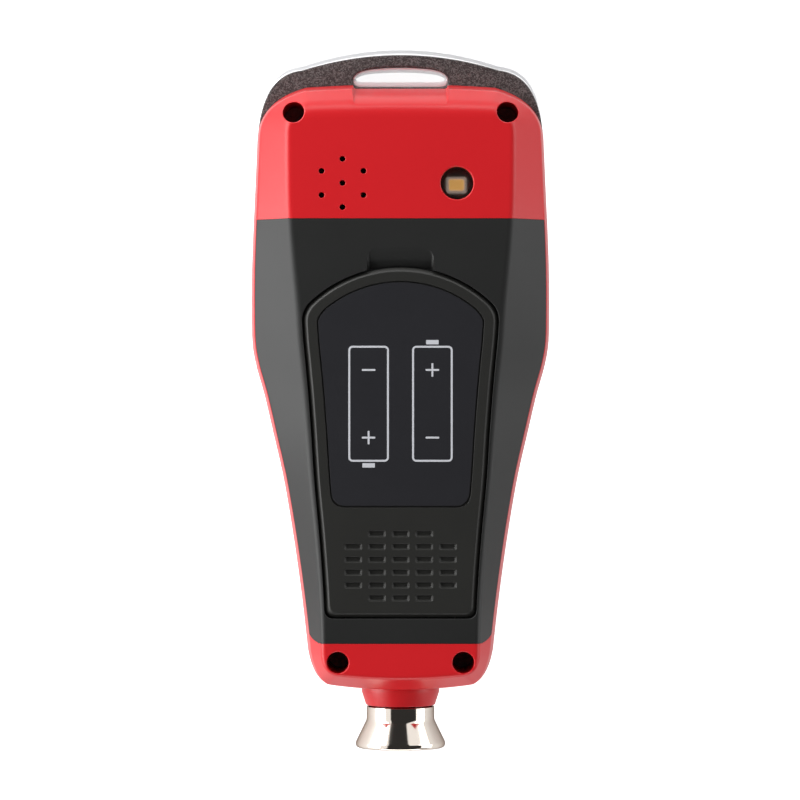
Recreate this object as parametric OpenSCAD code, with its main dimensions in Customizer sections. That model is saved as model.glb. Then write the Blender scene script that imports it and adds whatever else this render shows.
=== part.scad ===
// Coating thickness gauge with a battery door, five keys and a sprung probe.
// It lies on its front face. +X runs across the case, +Y runs from the probe to the lug
// and +Z points out of the back. Sizes are in millimetres.

/* [Case] */
// Length of the case without the lug and the probe
case_len = 128.5; // [122:0.5:136]
// Width across the hip, the widest place
hip_w = 63.2; // [60:0.2:68]
// Width at the probe end of the sides
tail_w = 39.3; // [37:0.1:42]
// Thickness from the bezel front to the flat back
case_t = 31; // [29:0.5:35]
// Height of the parting line between the two shells
part_z = 11; // [10:0.5:12]
// Height of the crease where the side walls turn into the bevels
crease_z = 24.5; // [23:0.5:26]
// Inward lean of the side walls up to the crease
side_draft = 1; // [0.6:0.1:1.4]
// Inward lean of the lug end's wall up to the crease
end_draft = 1.9; // [1:0.1:2.2]
// Wall thickness of both shells
wall = 2; // [1.6:0.1:2.2]

/* [Back] */
// Width of the flat back at the shoulders
flat_top_w = 46.9; // [45:0.1:50]
// Width of the flat back at the probe end
flat_tail_w = 32.4; // [31:0.1:34]
// Thickness of the dark grip skin
grip_t = 1.8; // [1.6:0.1:2]
// From the lug end of the case to the grip's upper edge
grip_top_gap = 29.4; // [28:0.2:31]
// From the probe end of the case to the grip's lower edge
grip_bottom_gap = 11; // [10:0.2:12]
// Diameter of the torch hole
torch_d = 6.8; // [6:0.1:7.4]
// Distance of torch and buzzer from the lug end of the case
torch_gap = 22.1; // [21:0.1:23]
// Distance of the torch from the middle line
torch_x = 11.7; // [10:0.1:13]
// Distance of the buzzer from the middle line
buzzer_x = 12; // [11:0.1:13]
// Diameter of each sound hole
sound_hole_d = 1.2; // [0.8:0.1:1.6]
// Radius of the ring of sound holes
sound_ring_r = 5; // [4:0.1:5.4]

/* [Battery door] */
// From the grip's upper edge to the top of the door's arch
door_top_gap = 10.2; // [9.4:0.1:11]
// From the grip's lower edge to the door's lower edge
door_bottom_gap = 5.5; // [5:0.1:6]
// Rim left between the door and the edge of the flat back
door_margin = 0.95; // [0.8:0.05:1.4]
// Radius of the door's arched top
door_arch_r = 27.1; // [25.5:0.1:30]
// Gap around the door
door_gap = 0.3; // [0.2:0.05:0.4]
// Width of the rim around the sunk field of the door
label_rim = 2.75; // [2.2:0.05:3.4]
// Height of the sunk field's lower edge above the door's lower edge
label_bottom = 22.7; // [21.5:0.1:25]
// Depth of the sunk field
label_depth = 0.25; // [0.2:0.05:0.4]
// Length of one grip slot
slot_w = 3.5; // [3:0.1:4]
// Spacing of the grip slots across the door
slot_pitch_x = 4.9; // [4.6:0.1:5.2]
// Spacing of the rows of grip slots
slot_pitch_y = 2.66; // [2.4:0.02:2.8]
// Width of the finger notch above the door
notch_w = 13.9; // [12:0.1:16]
// Length of the finger notch
notch_len = 4.1; // [3.5:0.1:4.6]

/* [Lug and bezel] */
// Height of the lug above the lug end of the case
lug_rise = 6.3; // [6:0.1:7]
// Height of the silver bezel above the lug end of the case
bezel_rise = 8.5; // [8.1:0.1:9.2]
// Thickness of the bezel
bezel_t = 3; // [2.6:0.1:3.4]
// Width of the bezel frame at the sides
bezel_w = 3.4; // [3:0.1:4]
// Width of the lanyard slot
lanyard_w = 20.4; // [18:0.1:22]
// Height of the lanyard slot
lanyard_h = 4.35; // [3.8:0.05:4.6]

/* [Front] */
// Depth of the panel behind the bezel front
panel_z = 1.6; // [1.4:0.1:1.8]
// From the case's widest place to the display window, on each side
window_side = 8.1; // [7.6:0.1:10]
// Height of the display window
window_h = 38; // [35:0.5:39]
// Radius of the round key
round_key_r = 6; // [5.4:0.1:6.2]
// Inner radius of the four arched keys
arch_key_r0 = 8.4; // [8.3:0.1:9]
// Outer radius of the four arched keys
arch_key_r1 = 15.4; // [14.4:0.1:16]
// Key travel
key_travel = 0.8; // [0.5:0.1:0.9]

/* [Screws] */
// Diameter of the deep screw holes
screw_hole_d = 4.5; // [4.3:0.1:4.8]
// Half distance between the two upper screws
screw_top_x = 22.2; // [21:0.1:23]
// Half distance between the two lower screws
screw_low_x = 13; // [12.6:0.1:13.6]
// Diameter of the case screws' shanks
screw_d = 2.2; // [2:0.1:2.4]

/* [Probe] */
// Diameter of the neck at the case
neck_d = 16.4; // [16:0.1:17]
// Length of the neck
neck_len = 2.85; // [2.5:0.05:3.5]
// Diameter of the sleeve's straight part
sleeve_d = 14.3; // [13.8:0.1:14.5]
// Diameter of the sleeve's foot
foot_d = 18.9; // [18:0.1:20]
// Length of the sleeve outside the neck
sleeve_len = 8.95; // [8.4:0.05:9.6]
// Length of the sleeve's straight part
sleeve_straight = 3.05; // [2.5:0.05:3.5]
// Height of the foot's rim under the cone
foot_rim = 1.5; // [1.2:0.05:1.8]
// Diameter of the plunger's nose
nose_d = 7.8; // [7.4:0.1:8]
// How far the tip stands out of the foot
tip_out = 0.6; // [0.3:0.05:0.9]

/* [Battery] */
// Diameter of a cell
cell_d = 10.3; // [10:0.1:10.5]
// Length of a cell with its cap
cell_len = 44.2; // [43.5:0.1:44.5]

/* [Hidden] */
$fn = 48;

red = [0.78, 0.12, 0.14];
dark = [0.18, 0.18, 0.18];
charcoal = [0.28, 0.27, 0.27];
silver = [0.82, 0.82, 0.83];
steel = [0.7, 0.7, 0.72];
black = [0.07, 0.07, 0.08];

// Y is drawn from the probe end of the case and moved so that the whole gauge is centred.
tail_x = tail_w / 2;
hip_x = hip_w / 2;
side_bottom = 8.6;
side_top = case_len - 11.9;
lug_top = case_len + lug_rise;
bezel_top = case_len + bezel_rise;
foot_y = -neck_len - sleeve_len;
y_origin = -(bezel_top + foot_y - tip_out) / 2;

// Sides of the case: share of the height, of the case's swell and of the flat back's swell.
side_shape = [
    [0, 0, 0], [0.102, 0.105, 0.041], [0.218, 0.251, 0.159], [0.333, 0.427, 0.317],
    [0.426, 0.617, 0.407], [0.5, 0.774, 0.49], [0.556, 0.916, 0.566], [0.602, 0.987, 0.634],
    [0.667, 1, 0.703], [0.741, 0.996, 0.814], [0.815, 0.974, 0.917], [0.889, 0.943, 0.979],
    [1, 0.9, 1]
];
case_side = [for (s = side_shape) [mix(tail_x, hip_x, s[1]), mix(side_bottom, side_top, s[0])]];
flat_side = [
    for (s = side_shape) [mix(flat_tail_w, flat_top_w, s[2]) / 2, mix(side_bottom, side_top, s[0])]
];
flat_table = [for (p = flat_side) [p.y, p.x]];

// Half outlines run from the middle of the probe end to the middle of the lug end.
tail_corner = [tail_x - 4.35, 1.1];
tail_bend = [tail_x - 1.15, 2.35];
case_half = half_outline(
    0, tail_corner, tail_bend, case_side,
    [hip_x - 1.5, case_len - 3.5], [hip_x - 11.6, case_len - 0.7], case_len
);
lug_half = half_outline(
    0, tail_corner, tail_bend, case_side,
    [hip_x - 2, lug_top - 4.2], [hip_x - 10.6, lug_top - 3.3], lug_top
);
bezel_half = half_outline(
    0, tail_corner, tail_bend, case_side,
    [hip_x - 0.5, bezel_top - 4.4], [hip_x - 10.6, bezel_top - 3.5], bezel_top
);
flat_half = half_outline(
    3.7, [flat_tail_w / 2 - 3.7, 4.4], [flat_tail_w / 2 - 0.1, 4.7], flat_side,
    [flat_top_w / 2 - 0.05, case_len - 6.3], [flat_top_w / 2 - 5, case_len - 6.1], case_len - 5.9
);
crease_half = inset(case_half, side_draft, end_draft - side_draft);

// Rounding of the crease, of the flat back's edge and of its lug end: share of the bevel, draw-in
edge_share = 0.06;
flat_edge = 0.3;
lug_round = [[0.63, 0], [0.83, 0.3], [0.95, 1.1]];
lug_edge = 2.5;

// Lanyard slot and the scoop under it
lanyard_low = case_len - 0.6;
bezel_slot_low = lanyard_low + 1.65;
bezel_slot_rim = 0.6;
scoop_len = 7.9;
scoop_bend = 2.9;
scoop_drop = 2.4;
scoop_foot = 0.3;

// Ledge of the bezel beyond the lug, and its collar in the lug's slot
bezel_ledge = 2.1;
bezel_step = 1.75;
collar_top = part_z - 0.5;
collar_fit = 0.05;
collar_low_w = 1.15;
collar_w = 0.4;

// Levels inside the case
skin = grip_t + wall;
floor_z = case_t - grip_t;
roof_z = case_t - skin;
panel_wall = 1.6;
panel_back = panel_z + panel_wall;
rim_floor = bezel_t + 1.4;
panel_fit = 0.1;
board_z = 9;
board_t = 1.6;
board_inset = wall + 0.8;

// Grip and battery door
grip_top = case_len - grip_top_gap;
grip_bottom = grip_bottom_gap;
grip_corner = 4;
door_top = grip_top - door_top_gap;
door_bottom = grip_bottom + door_bottom_gap;
door_corner = 1.9;
door_edge = 0.8;
label_corner = 2.8;
label_fit = 0.35;
door_shoulder = door_top - door_arch_r + sqrt(pow(door_arch_r, 2) - pow(door_x(door_top - 9, 0), 2));
slot_h = 1.2;
slot_depth = 0.5;
slot_first = door_bottom + 4;
slot_rows = [1, 2, 2, 2, 2, 1];
notch_depth = 1.45;
notch_corner = 2;

// Hooks of the door turn about its lower outer edge
hook_w = 5;
hook_x = 8.5;
hook_out = 1.6;
hook_t = 1.2;
hook_drop = 0.3;
hook_root = 1.5;
hook_room = 0.4;
catch_w = 9;
catch_t = 1.4;
catch_drop = 2.4;
catch_back = 2.6;

// Battery bay
cell_r = cell_d / 2;
cell_room = 0.3;
contact_t = 0.4;
spring_len = 5.5;
bay_wall = 1.5;
bay_w = 2 * cell_d + 3 * cell_room;
bay_len = cell_len + spring_len + 2 * contact_t;
bay_mid = (door_top + door_bottom) / 2;
bay_top = bay_mid + bay_len / 2;
bay_bottom = bay_mid - bay_len / 2;
cell_spring_r0 = 0.7 * cell_r;
cell_spring_r1 = 0.43 * cell_r;
cell_wire_r = 0.35;
cell_x = cell_r + cell_room / 2;
cell_z = floor_z - cell_room - cell_r;
bay_floor = cell_z - cell_r;
cap_r = 1.9;
cap_len = 1;

// Screws, torch and buzzer
screw_top_y = case_len - 7.3;
screw_low_y = 7.1;
screw_spots = [
    [screw_top_x, screw_top_y], [-screw_top_x, screw_top_y],
    [screw_low_x, screw_low_y], [-screw_low_x, screw_low_y]
];
boss_r = 3.8;
head_z = part_z + 2.5;
head_t = 1.6;
head_r = screw_hole_d / 2 - 0.15;
shank_z = 5;
screw_fit = 0.05;
torch_y = case_len - torch_gap;
torch_lens_r = torch_d / 2 + 0.5;
torch_lens_t = 1.2;
torch_lens_z = case_t - 2.2;
torch_fit = 0.05;
torch_board_z = roof_z - 4;
torch_board_t = 1;
torch_wall = 1.5;
buzzer_r = sound_ring_r + 1.9;
buzzer_t = 4;
buzzer_fit = 0.1;
buzzer_wall = 1.2;

// Display and keys
window_w = hip_w - 2 * window_side;
window_y = case_len - 30.5;
window_t = 1.1;
window_sink = 0.6;
window_corner = 2.5;
view_edge = 2.2;
panel_glass_t = 1.8;
holder_edge = 0.3;
holder_wall = 1;
holder_shelf = 1;
pad_y = 50.6;
key_face = 0.6;
key_fit = 0.2;
key_flange = 0.8;
key_flange_t = 1;
key_edge = 0.4;
arch_angle = 76;
arch_flange_angle = 84;
arch_fit_angle = 1;
switch_w = 6;
switch_t = 2.4;
switch_button_r = 1.7;
switch_gap = 0.1;
switch_ring_r = (arch_key_r0 + arch_key_r1) / 2;
board_top = case_len - 11.5;
board_bottom = 21;
post_r = 1.9;
board_screw_r = 0.95;
post_spots = [
    [hip_x - 5.7, board_top - 11], [5.7 - hip_x, board_top - 11],
    [tail_x - 5.6, board_bottom + 5.6], [5.6 - tail_x, board_bottom + 5.6]
];

// Probe, drawn as radius and Y about the probe's own axis
probe_z = part_z + 4.5;
neck_r = neck_d / 2;
neck_tip_r = sleeve_d / 2 + 0.1;
neck_fit = 0.2;
neck_round = 0.5;
nut_room = 1.2;
neck_back = wall + side_draft + nut_room;
tail_r = 5.8;
tail_fit = 0.05;
tail_end = 15.6;
foot_r = foot_d / 2;
nose_r = nose_d / 2;
nose_fit = 0.1;
spring_bore_r = tail_r - 0.9;
stop_y = 0.6;
flange_t = 1.6;
flange_r = spring_bore_r - 0.2;
stem_r = 1.5;
spring_r = (stem_r + spring_bore_r) / 2;
spring_wire_r = 0.3;
cap_plug = 2;
cap_head = 1.2;
nut_t = 2.5;
nut_r = 8;
tip_r = 1.4;
tip_seat = 2;
coil_r = 2.6;
coil_top = -4;
coil_bottom = foot_y + 1.8;

function mix(a, b, t) = a + (b - a) * t;

// Quadratic curve from a to c that bends towards b, without its last point
function curve(a, b, c, n) = [
    for (i = [0 : n - 1]) let (t = i / n) (1 - t) * (1 - t) * a + 2 * t * (1 - t) * b + t * t * c
];

// Smooth line through the points p with n steps between two points, without its last point
function smooth(p, n) = [
    for (i = [0 : len(p) - 2], k = [0 : n - 1])
        let (t = k / n, a = p[max(i - 1, 0)], b = p[i], c = p[i + 1], d = p[min(i + 2, len(p) - 1)])
        b + 0.5 * t * (c - a + t * (2 * a - 5 * b + 4 * c - d + t * (3 * (b - c) + d - a)))
];

function half_outline(low_y, low_corner, low_bend, side, top_bend, top_corner, top_y) = concat(
    curve([0, low_y], [low_corner.x / 2, low_y], low_corner, 3),
    curve(low_corner, low_bend, side[0], 5),
    smooth(side, 2),
    curve(side[len(side) - 1], top_bend, top_corner, 6),
    curve(top_corner, [top_corner.x / 2, top_y], [0, top_y], 3),
    [[0, top_y]]
);

// Moves a half outline inwards by d, and by more besides where it faces the lug end
function inset(h, d, more = 0) = [
    for (i = [0 : len(h) - 1])
        let (
            run = i == 0 ? [1, 0] : i == len(h) - 1 ? [-1, 0] : h[i + 1] - h[i - 1],
            out = [run.y, -run.x] / norm(run)
        )
        h[i] - (d + more * pow(max(out.y, 0), 2)) * out
];

function blend(a, b, t) = [for (i = [0 : len(a) - 1]) mix(a[i], b[i], t)];

function ring(h) = concat(h, [for (i = [len(h) - 2 : -1 : 1]) [-h[i].x, h[i].y]]);

// Half width of the door at height y, moved inwards by d
function door_x(y, d) = lookup(y, flat_table) - door_margin - d;

// Half outline of the door moved inwards by d, with its lower edge at the height low
function door_half(d, low, corner = door_corner) =
    let (
        r = door_arch_r - d,
        mid_y = door_top - door_arch_r,
        side_end = door_shoulder - 2.4,
        low_x = door_x(low, d),
        arch_x = door_x(door_shoulder, d) - 1.7,
        bend = door_x(door_shoulder, d),
        side_y = [for (i = [0 : 5]) mix(low + corner, side_end, i / 6)]
    )
    concat(
        [[0, low]],
        curve([low_x - corner, low], [low_x, low], [door_x(low + corner, d), low + corner], 4),
        [for (y = side_y) [door_x(y, d), y]],
        curve(
            [door_x(side_end, d), side_end], [bend, door_shoulder - d / 2],
            [arch_x, mid_y + sqrt(r * r - arch_x * arch_x)], 5
        ),
        [for (i = [0 : 11]) let (a = asin(arch_x / r) * (1 - i / 11)) [r * sin(a), mid_y + r * cos(a)]]
    );

// Half outline of the lanyard slot
function lanyard_half(low, h, half_w) = concat(
    [[0, low]],
    curve([half_w - 1.9, low], [half_w, low], [half_w, low + 0.32 * h], 4),
    curve([half_w, low + 0.32 * h], [half_w - 0.2, low + 0.74 * h], [half_w - 3.7, low + 0.9 * h], 5),
    curve([half_w - 3.7, low + 0.9 * h], [half_w / 2 - 1.8, low + h], [0, low + h], 4),
    [[0, low + h]]
);

// Solid through half outlines, one at each height
module loft(halves, heights) {
    n = len(halves[0]);
    m = 2 * n - 2;
    last = (len(halves) - 1) * m;
    points = [for (k = [0 : len(halves) - 1], p = ring(halves[k])) [p.x, p.y, heights[k]]];
    sides = [
        for (k = [0 : len(halves) - 2], i = [0 : m - 1])
            let (a = k * m + i, b = k * m + (i + 1) % m)
            each [[a, a + m, b + m], [a, b + m, b]]
    ];
    top = n - 1;
    floor = concat(
        [[0, 1, 2], [0, 2, m - 2], [0, m - 2, m - 1]],
        [for (j = [2 : n - 4]) each [[j, j + 1, m - j - 1], [j, m - j - 1, m - j]]],
        [[top, top + 1, top + 2], [top, top + 2, top - 2], [top, top - 2, top - 1]]
    );
    roof = [for (f = floor) [last + f[2], last + f[1], last + f[0]]];
    polyhedron(points, concat(sides, floor, roof), convexity = 10);
}

// Flat plate with a half outline, from z0 up to z1
module plate(half, z0, z1) {
    translate([0, 0, z0])
        linear_extrude(z1 - z0)
            polygon(ring(half));
}

// Box centred on x and y, from z0 up to z1
module block(w, h, z0, z1) {
    translate([-w / 2, -h / 2, z0])
        cube([w, h, z1 - z0]);
}

// Rounded plate centred on x and y, from z0 up to z1
module rounded_plate(w, h, r, z0, z1) {
    translate([0, 0, z0])
        linear_extrude(z1 - z0)
            offset(r)
                square([w - 2 * r, h - 2 * r], center = true);
}

// Round pin from z0 up to z1
module pin(r, z0, z1) {
    translate([0, 0, z0])
        cylinder(r = r, h = z1 - z0);
}

// Turned piece on the probe axis from a profile of radius and Y
module turned(profile) {
    translate([0, 0, probe_z])
        rotate([-90, 0, 0])
            rotate_extrude()
                polygon(profile);
}

module at_spots(spots) {
    for (p = spots)
        translate([p.x, p.y, 0])
            children();
}

// Coil spring along Y that narrows from radius r0 to r1
module coil_spring(r0, r1, wire_r, length, turns) {
    steps = turns * 16;
    around = 6;
    points = [
        for (i = [0 : steps], k = [0 : around - 1])
            let (
                t = i / steps,
                a = 360 * turns * t,
                b = 360 * k / around,
                r = mix(r0, r1, t) + wire_r * cos(b),
                y = mix(wire_r, length - wire_r, t) + wire_r * sin(b)
            )
            [r * cos(a), y, r * sin(a)]
    ];
    walls = [
        for (i = [0 : steps - 1], k = [0 : around - 1])
            let (a = i * around + k, b = i * around + (k + 1) % around)
            each [[a, b, b + around], [a, b + around, a + around]]
    ];
    ends = [
        for (k = [1 : around - 2])
            let (e = steps * around)
            each [[0, k + 1, k], [e, e + k, e + k + 1]]
    ];
    polyhedron(points, concat(walls, ends), convexity = 10);
}

// Outer form of the rear shell and the grip together
module back_form() {
    loft(
        [
            case_half,
            blend(case_half, crease_half, 1 - edge_share),
            blend(crease_half, flat_half, edge_share),
            each [for (r = lug_round) inset(blend(crease_half, flat_half, r[0]), 0, r[1])],
            inset(flat_half, flat_edge, lug_edge)
        ],
        [
            part_z,
            mix(part_z, crease_z, 1 - edge_share),
            mix(crease_z, case_t, edge_share),
            each [for (r = lug_round) mix(crease_z, case_t, r[0])],
            case_t
        ]
    );
}

// Space over the middle of the back that the grip fills, down to the crease
module grip_zone() {
    corner_y = grip_bottom + grip_corner;
    corner_x = tail_x + 0.2;
    low = curve(
        [flat_tail_w / 2 - 0.2, grip_bottom], [tail_x - 0.5, grip_bottom], [corner_x, corner_y], 6
    );
    side = [[corner_x, corner_y], [hip_w, corner_y], [hip_w, grip_top]];
    plate(concat([[0, grip_bottom]], low, side, [[0, grip_top]]), crease_z, case_t + 1);
}

// Red surface under the grip
module grip_seat() {
    low = inset(crease_half, 1.41 * grip_t);
    top = inset(flat_half, 0.41 * grip_t);
    under = -1 / (floor_z - crease_z);
    loft([blend(low, top, under), top], [crease_z - 1, floor_z]);
}

module rear_cavity() {
    difference() {
        loft(
            [inset(case_half, wall), inset(crease_half, wall), inset(flat_half, 0.42 * skin)],
            [part_z - 1, crease_z - 0.9 * skin, roof_z]
        );
        at_spots(screw_spots)
            pin(boss_r, 0, case_t);
        translate([0, bay_mid, 0])
            block(bay_w + 2 * bay_wall, bay_len + 2 * bay_wall, bay_floor - bay_wall, case_t);
        translate([torch_x, torch_y, 0])
            pin(torch_lens_r + torch_wall, torch_board_z, case_t);
        translate([-buzzer_x, torch_y, 0])
            pin(buzzer_r + buzzer_wall, roof_z - buzzer_t, case_t);
        neck();
    }
}

module neck() {
    turned([
        [0, neck_back], [neck_r, neck_back], [neck_r, 0],
        [neck_tip_r + 0.3 * neck_round, 1.5 * neck_round - neck_len],
        [neck_tip_r, 0.6 * neck_round - neck_len], [neck_tip_r - neck_round, -neck_len], [0, -neck_len]
    ]);
}

// Scoop under the lanyard slot, which falls in a curve from the flat back to the parting line
module slot_scoop() {
    start = [case_len - scoop_len, case_t + 0.02];
    bend = [case_len - scoop_bend, case_t - scoop_drop];
    foot = [lanyard_low - scoop_foot, part_z - 0.1];
    translate([-lanyard_w / 2, 0, 0])
        rotate([90, 0, 90])
            linear_extrude(lanyard_w)
                polygon(concat(
                    curve(start, bend, foot, 8),
                    [foot, [lug_top, foot.y], [lug_top, case_t + 1], [start.x, case_t + 1]]
                ));
}

module sound_holes() {
    pin(sound_hole_d / 2, roof_z - 1, case_t + 1);
    for (a = [30 : 60 : 330])
        rotate([0, 0, a])
            translate([sound_ring_r, 0, 0])
                pin(sound_hole_d / 2, roof_z - 1, case_t + 1);
}

// Slots in the red floor for the hooks of the door
module hook_slots() {
    reach = hook_out + hook_room;
    swing = hook_drop + hook_t + grip_t + hook_root + 2 * hook_room;
    for (s = [-1, 1])
        translate([s * hook_x - hook_w / 2 - hook_room, door_bottom - reach, roof_z - 1])
            cube([hook_w + 2 * hook_room, reach + swing, wall + 1.5]);
}

module catch_slot() {
    translate([0, door_top - catch_back - catch_t / 2, 0])
        block(catch_w + 2 * hook_room, catch_t + 2 * hook_room, roof_z - 1, floor_z + 0.5);
}

module rear_shell() {
    color(red)
        difference() {
            union() {
                back_form();
                neck();
            }
            difference() {
                grip_zone();
                grip_seat();
            }
            rear_cavity();
            translate([0, bay_mid, 0])
                block(bay_w, bay_len, bay_floor, case_t);
            hook_slots();
            catch_slot();
            slot_scoop();
            at_spots(screw_spots) {
                pin(screw_hole_d / 2, head_z, case_t + 1);
                pin(screw_d / 2 + screw_fit, part_z - 1, head_z + 1);
            }
            translate([torch_x, torch_y, 0]) {
                pin(torch_d / 2, torch_lens_z - 1, case_t + 1);
                pin(torch_lens_r, torch_board_z - 1, torch_lens_z);
            }
            translate([-buzzer_x, torch_y, 0]) {
                sound_holes();
                pin(buzzer_r, roof_z - buzzer_t - 1, roof_z);
            }
            turned([[0, neck_back + 1], [tail_r + tail_fit, neck_back + 1],
                [tail_r + tail_fit, -neck_len - 1], [0, -neck_len - 1]]);
        }
}

module rear_grip() {
    tilt = atan(notch_depth / notch_len);
    color(dark)
        difference() {
            intersection() {
                back_form();
                grip_zone();
            }
            grip_seat();
            plate(door_half(-door_gap, door_bottom - door_gap), crease_z, case_t + 1);
            translate([0, door_top + notch_len, case_t])
                rotate([tilt, 0, 0])
                    translate([0, -notch_len, 0])
                        rounded_plate(notch_w, 2 * notch_len, notch_corner, 0, 4);
        }
}

// The door takes most of the skill: its tapering outline, arch, sunk field and hooks fit one opening.
module battery_door() {
    field_low = door_bottom + label_bottom;
    outline = door_half(0, door_bottom);
    color(dark)
        difference() {
            union() {
                loft(
                    [outline, outline, door_half(door_edge, door_bottom + door_edge)],
                    [floor_z, case_t - door_edge, case_t]
                );
                for (s = [-1, 1])
                    translate([s * hook_x - hook_w / 2, door_bottom, floor_z - hook_drop - hook_t])
                        door_hook();
                translate([0, door_top - catch_back - catch_t / 2, 0])
                    block(catch_w, catch_t, floor_z - catch_drop, floor_z + 0.5);
            }
            plate(door_half(label_rim, field_low, label_corner), case_t - label_depth, case_t + 1);
            for (row = [0 : len(slot_rows) - 1], col = [-slot_rows[row] : slot_rows[row]])
                translate([col * slot_pitch_x, slot_first + row * slot_pitch_y, 0])
                    block(slot_w, slot_h, case_t - slot_depth, case_t + 1);
        }
}

module door_hook() {
    translate([0, -hook_out, 0])
        cube([hook_w, hook_out + hook_root, hook_t]);
    translate([0, door_gap, 0])
        cube([hook_w, hook_root - door_gap, hook_drop + hook_t + 0.5]);
}

module battery_door_label() {
    field_low = door_bottom + label_bottom;
    color(black)
        plate(
            door_half(label_rim + label_fit, field_low + label_fit, label_corner),
            case_t - label_depth, case_t - label_depth / 3
        );
}

module front_shell() {
    color(charcoal)
        difference() {
            union() {
                loft([inset(lug_half, 0.5), lug_half], [bezel_t, part_z]);
                plate(inset(case_half, bezel_w), panel_z, rim_floor);
            }
            difference() {
                union() {
                    loft([inset(case_half, wall + 0.5), inset(case_half, wall)], [rim_floor, part_z + 1]);
                    plate(inset(case_half, bezel_w + wall), panel_back, rim_floor + 1);
                }
                at_spots(screw_spots)
                    pin(boss_r, 0, part_z);
                at_spots(post_spots)
                    pin(post_r, 0, board_z);
            }
            at_spots(screw_spots)
                pin(screw_d / 2 + screw_fit, shank_z - 0.5, part_z + 1);
            at_spots(post_spots)
                pin(board_screw_r + screw_fit, panel_back, part_z + 1);
            translate([0, window_y, 0]) {
                rounded_plate(
                    window_w + 2 * panel_fit, window_h + 2 * panel_fit, window_corner,
                    0, panel_z + window_sink
                );
                block(window_w - 2 * view_edge, window_h - 2 * view_edge, 0, panel_back + 1);
            }
            translate([0, pad_y, 0]) {
                pin(round_key_r + key_fit, 0, panel_back + 0.5);
                for (a = [0 : 90 : 270])
                    arch_hole(a);
            }
            plate(lanyard_half(lanyard_low, lanyard_h, lanyard_w / 2), 0, part_z + 1);
            turned([
                [0, neck_back + neck_fit], [neck_r + neck_fit, neck_back + neck_fit],
                [neck_r + neck_fit, -1], [0, -1]
            ]);
        }
}

module arch_hole(a) {
    angle = arch_angle + 2 * arch_fit_angle;
    rotate([0, 0, a - angle / 2])
        rotate_extrude(angle = angle)
            translate([arch_key_r0 - key_fit, 0])
                square([arch_key_r1 - arch_key_r0 + 2 * key_fit, panel_back + 0.5]);
}

module front_bezel() {
    color(silver) {
        difference() {
            loft(
                [
                    inset(bezel_half, 1.2), inset(bezel_half, 0.35), bezel_half,
                    inset(bezel_half, 0.05, 0.25), inset(bezel_half, 0.1, 0.4 * bezel_step),
                    inset(bezel_half, 0.15, bezel_step)
                ],
                [0, 0.5, 1.3, bezel_ledge - 0.15, bezel_ledge, bezel_t]
            );
            plate(inset(case_half, bezel_w - panel_fit), -1, bezel_t + 1);
            plate(
                lanyard_half(bezel_slot_low, lanyard_h - bezel_slot_rim, lanyard_w / 2 - bezel_slot_rim),
                -1, bezel_t + 1
            );
        }
        slot_collar();
    }
}

// Lining of the lug's slot, widest along the lower edge
module slot_collar() {
    low = lanyard_low + collar_fit;
    height = lanyard_h - 2 * collar_fit;
    half_w = lanyard_w / 2 - collar_fit;
    inner_h = height - collar_low_w - collar_w;
    difference() {
        plate(lanyard_half(low, height, half_w), bezel_t - 0.5, collar_top);
        plate(lanyard_half(low + collar_low_w, inner_h, half_w - collar_w), 0, collar_top + 1);
    }
}

module display_window() {
    color(black)
        translate([0, window_y, 0])
            rounded_plate(
                window_w, window_h, window_corner,
                panel_z + window_sink - window_t, panel_z + window_sink
            );
}

module display_panel() {
    color([0.55, 0.6, 0.55])
        translate([0, window_y, 0])
            block(window_w - view_edge, window_h - view_edge, panel_back, panel_back + panel_glass_t);
}

module display_holder() {
    inner_w = window_w - view_edge;
    inner_h = window_h - view_edge;
    shelf_z = panel_back + panel_glass_t;
    color([0.9, 0.9, 0.88])
        translate([0, window_y, 0])
            difference() {
                block(inner_w + 2 * holder_wall, inner_h + 2 * holder_wall, panel_back, board_z);
                block(inner_w + holder_edge, inner_h + holder_edge, panel_back - 1, shelf_z);
                block(inner_w - 2 * holder_shelf, inner_h - 2 * holder_shelf, panel_back, board_z + 1);
            }
}

// Key section between two radii: face, chamfered edges and the flange behind the panel
module arch_key(a) {
    flange_z = panel_back + key_flange_t;
    translate([0, pad_y, 0]) {
        rotate([0, 0, a - arch_angle / 2])
            rotate_extrude(angle = arch_angle)
                polygon([
                    [arch_key_r0, flange_z], [arch_key_r0, key_face + key_edge],
                    [arch_key_r0 + key_edge, key_face], [arch_key_r1 - key_edge, key_face],
                    [arch_key_r1, key_face + key_edge], [arch_key_r1, flange_z]
                ]);
        rotate([0, 0, a - arch_flange_angle / 2])
            rotate_extrude(angle = arch_flange_angle)
                translate([arch_key_r0 - key_flange, panel_back])
                    square([arch_key_r1 - arch_key_r0 + 2 * key_flange, key_flange_t]);
    }
}

module key_power() {
    flange_z = panel_back + key_flange_t;
    flange_r = round_key_r + key_flange;
    color(red)
        translate([0, pad_y, 0])
            rotate_extrude()
                polygon([
                    [0, key_face], [round_key_r - key_edge, key_face],
                    [round_key_r, key_face + key_edge], [round_key_r, panel_back],
                    [flange_r, panel_back], [flange_r, flange_z], [0, flange_z]
                ]);
}

module key_menu() {
    color(dark)
        arch_key(180);
}

module key_zero() {
    color(dark)
        arch_key(0);
}

module key_up() {
    color(dark)
        arch_key(90);
}

module key_down() {
    color(dark)
        arch_key(270);
}

module main_board() {
    color([0.1, 0.35, 0.2])
        translate([0, 0, board_z])
            linear_extrude(board_t)
                difference() {
                    intersection() {
                        polygon(ring(inset(case_half, board_inset)));
                        translate([-hip_w, board_bottom])
                            square([2 * hip_w, board_top - board_bottom]);
                    }
                    at_spots(post_spots)
                        circle(board_screw_r + screw_fit);
                }
}

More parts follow.
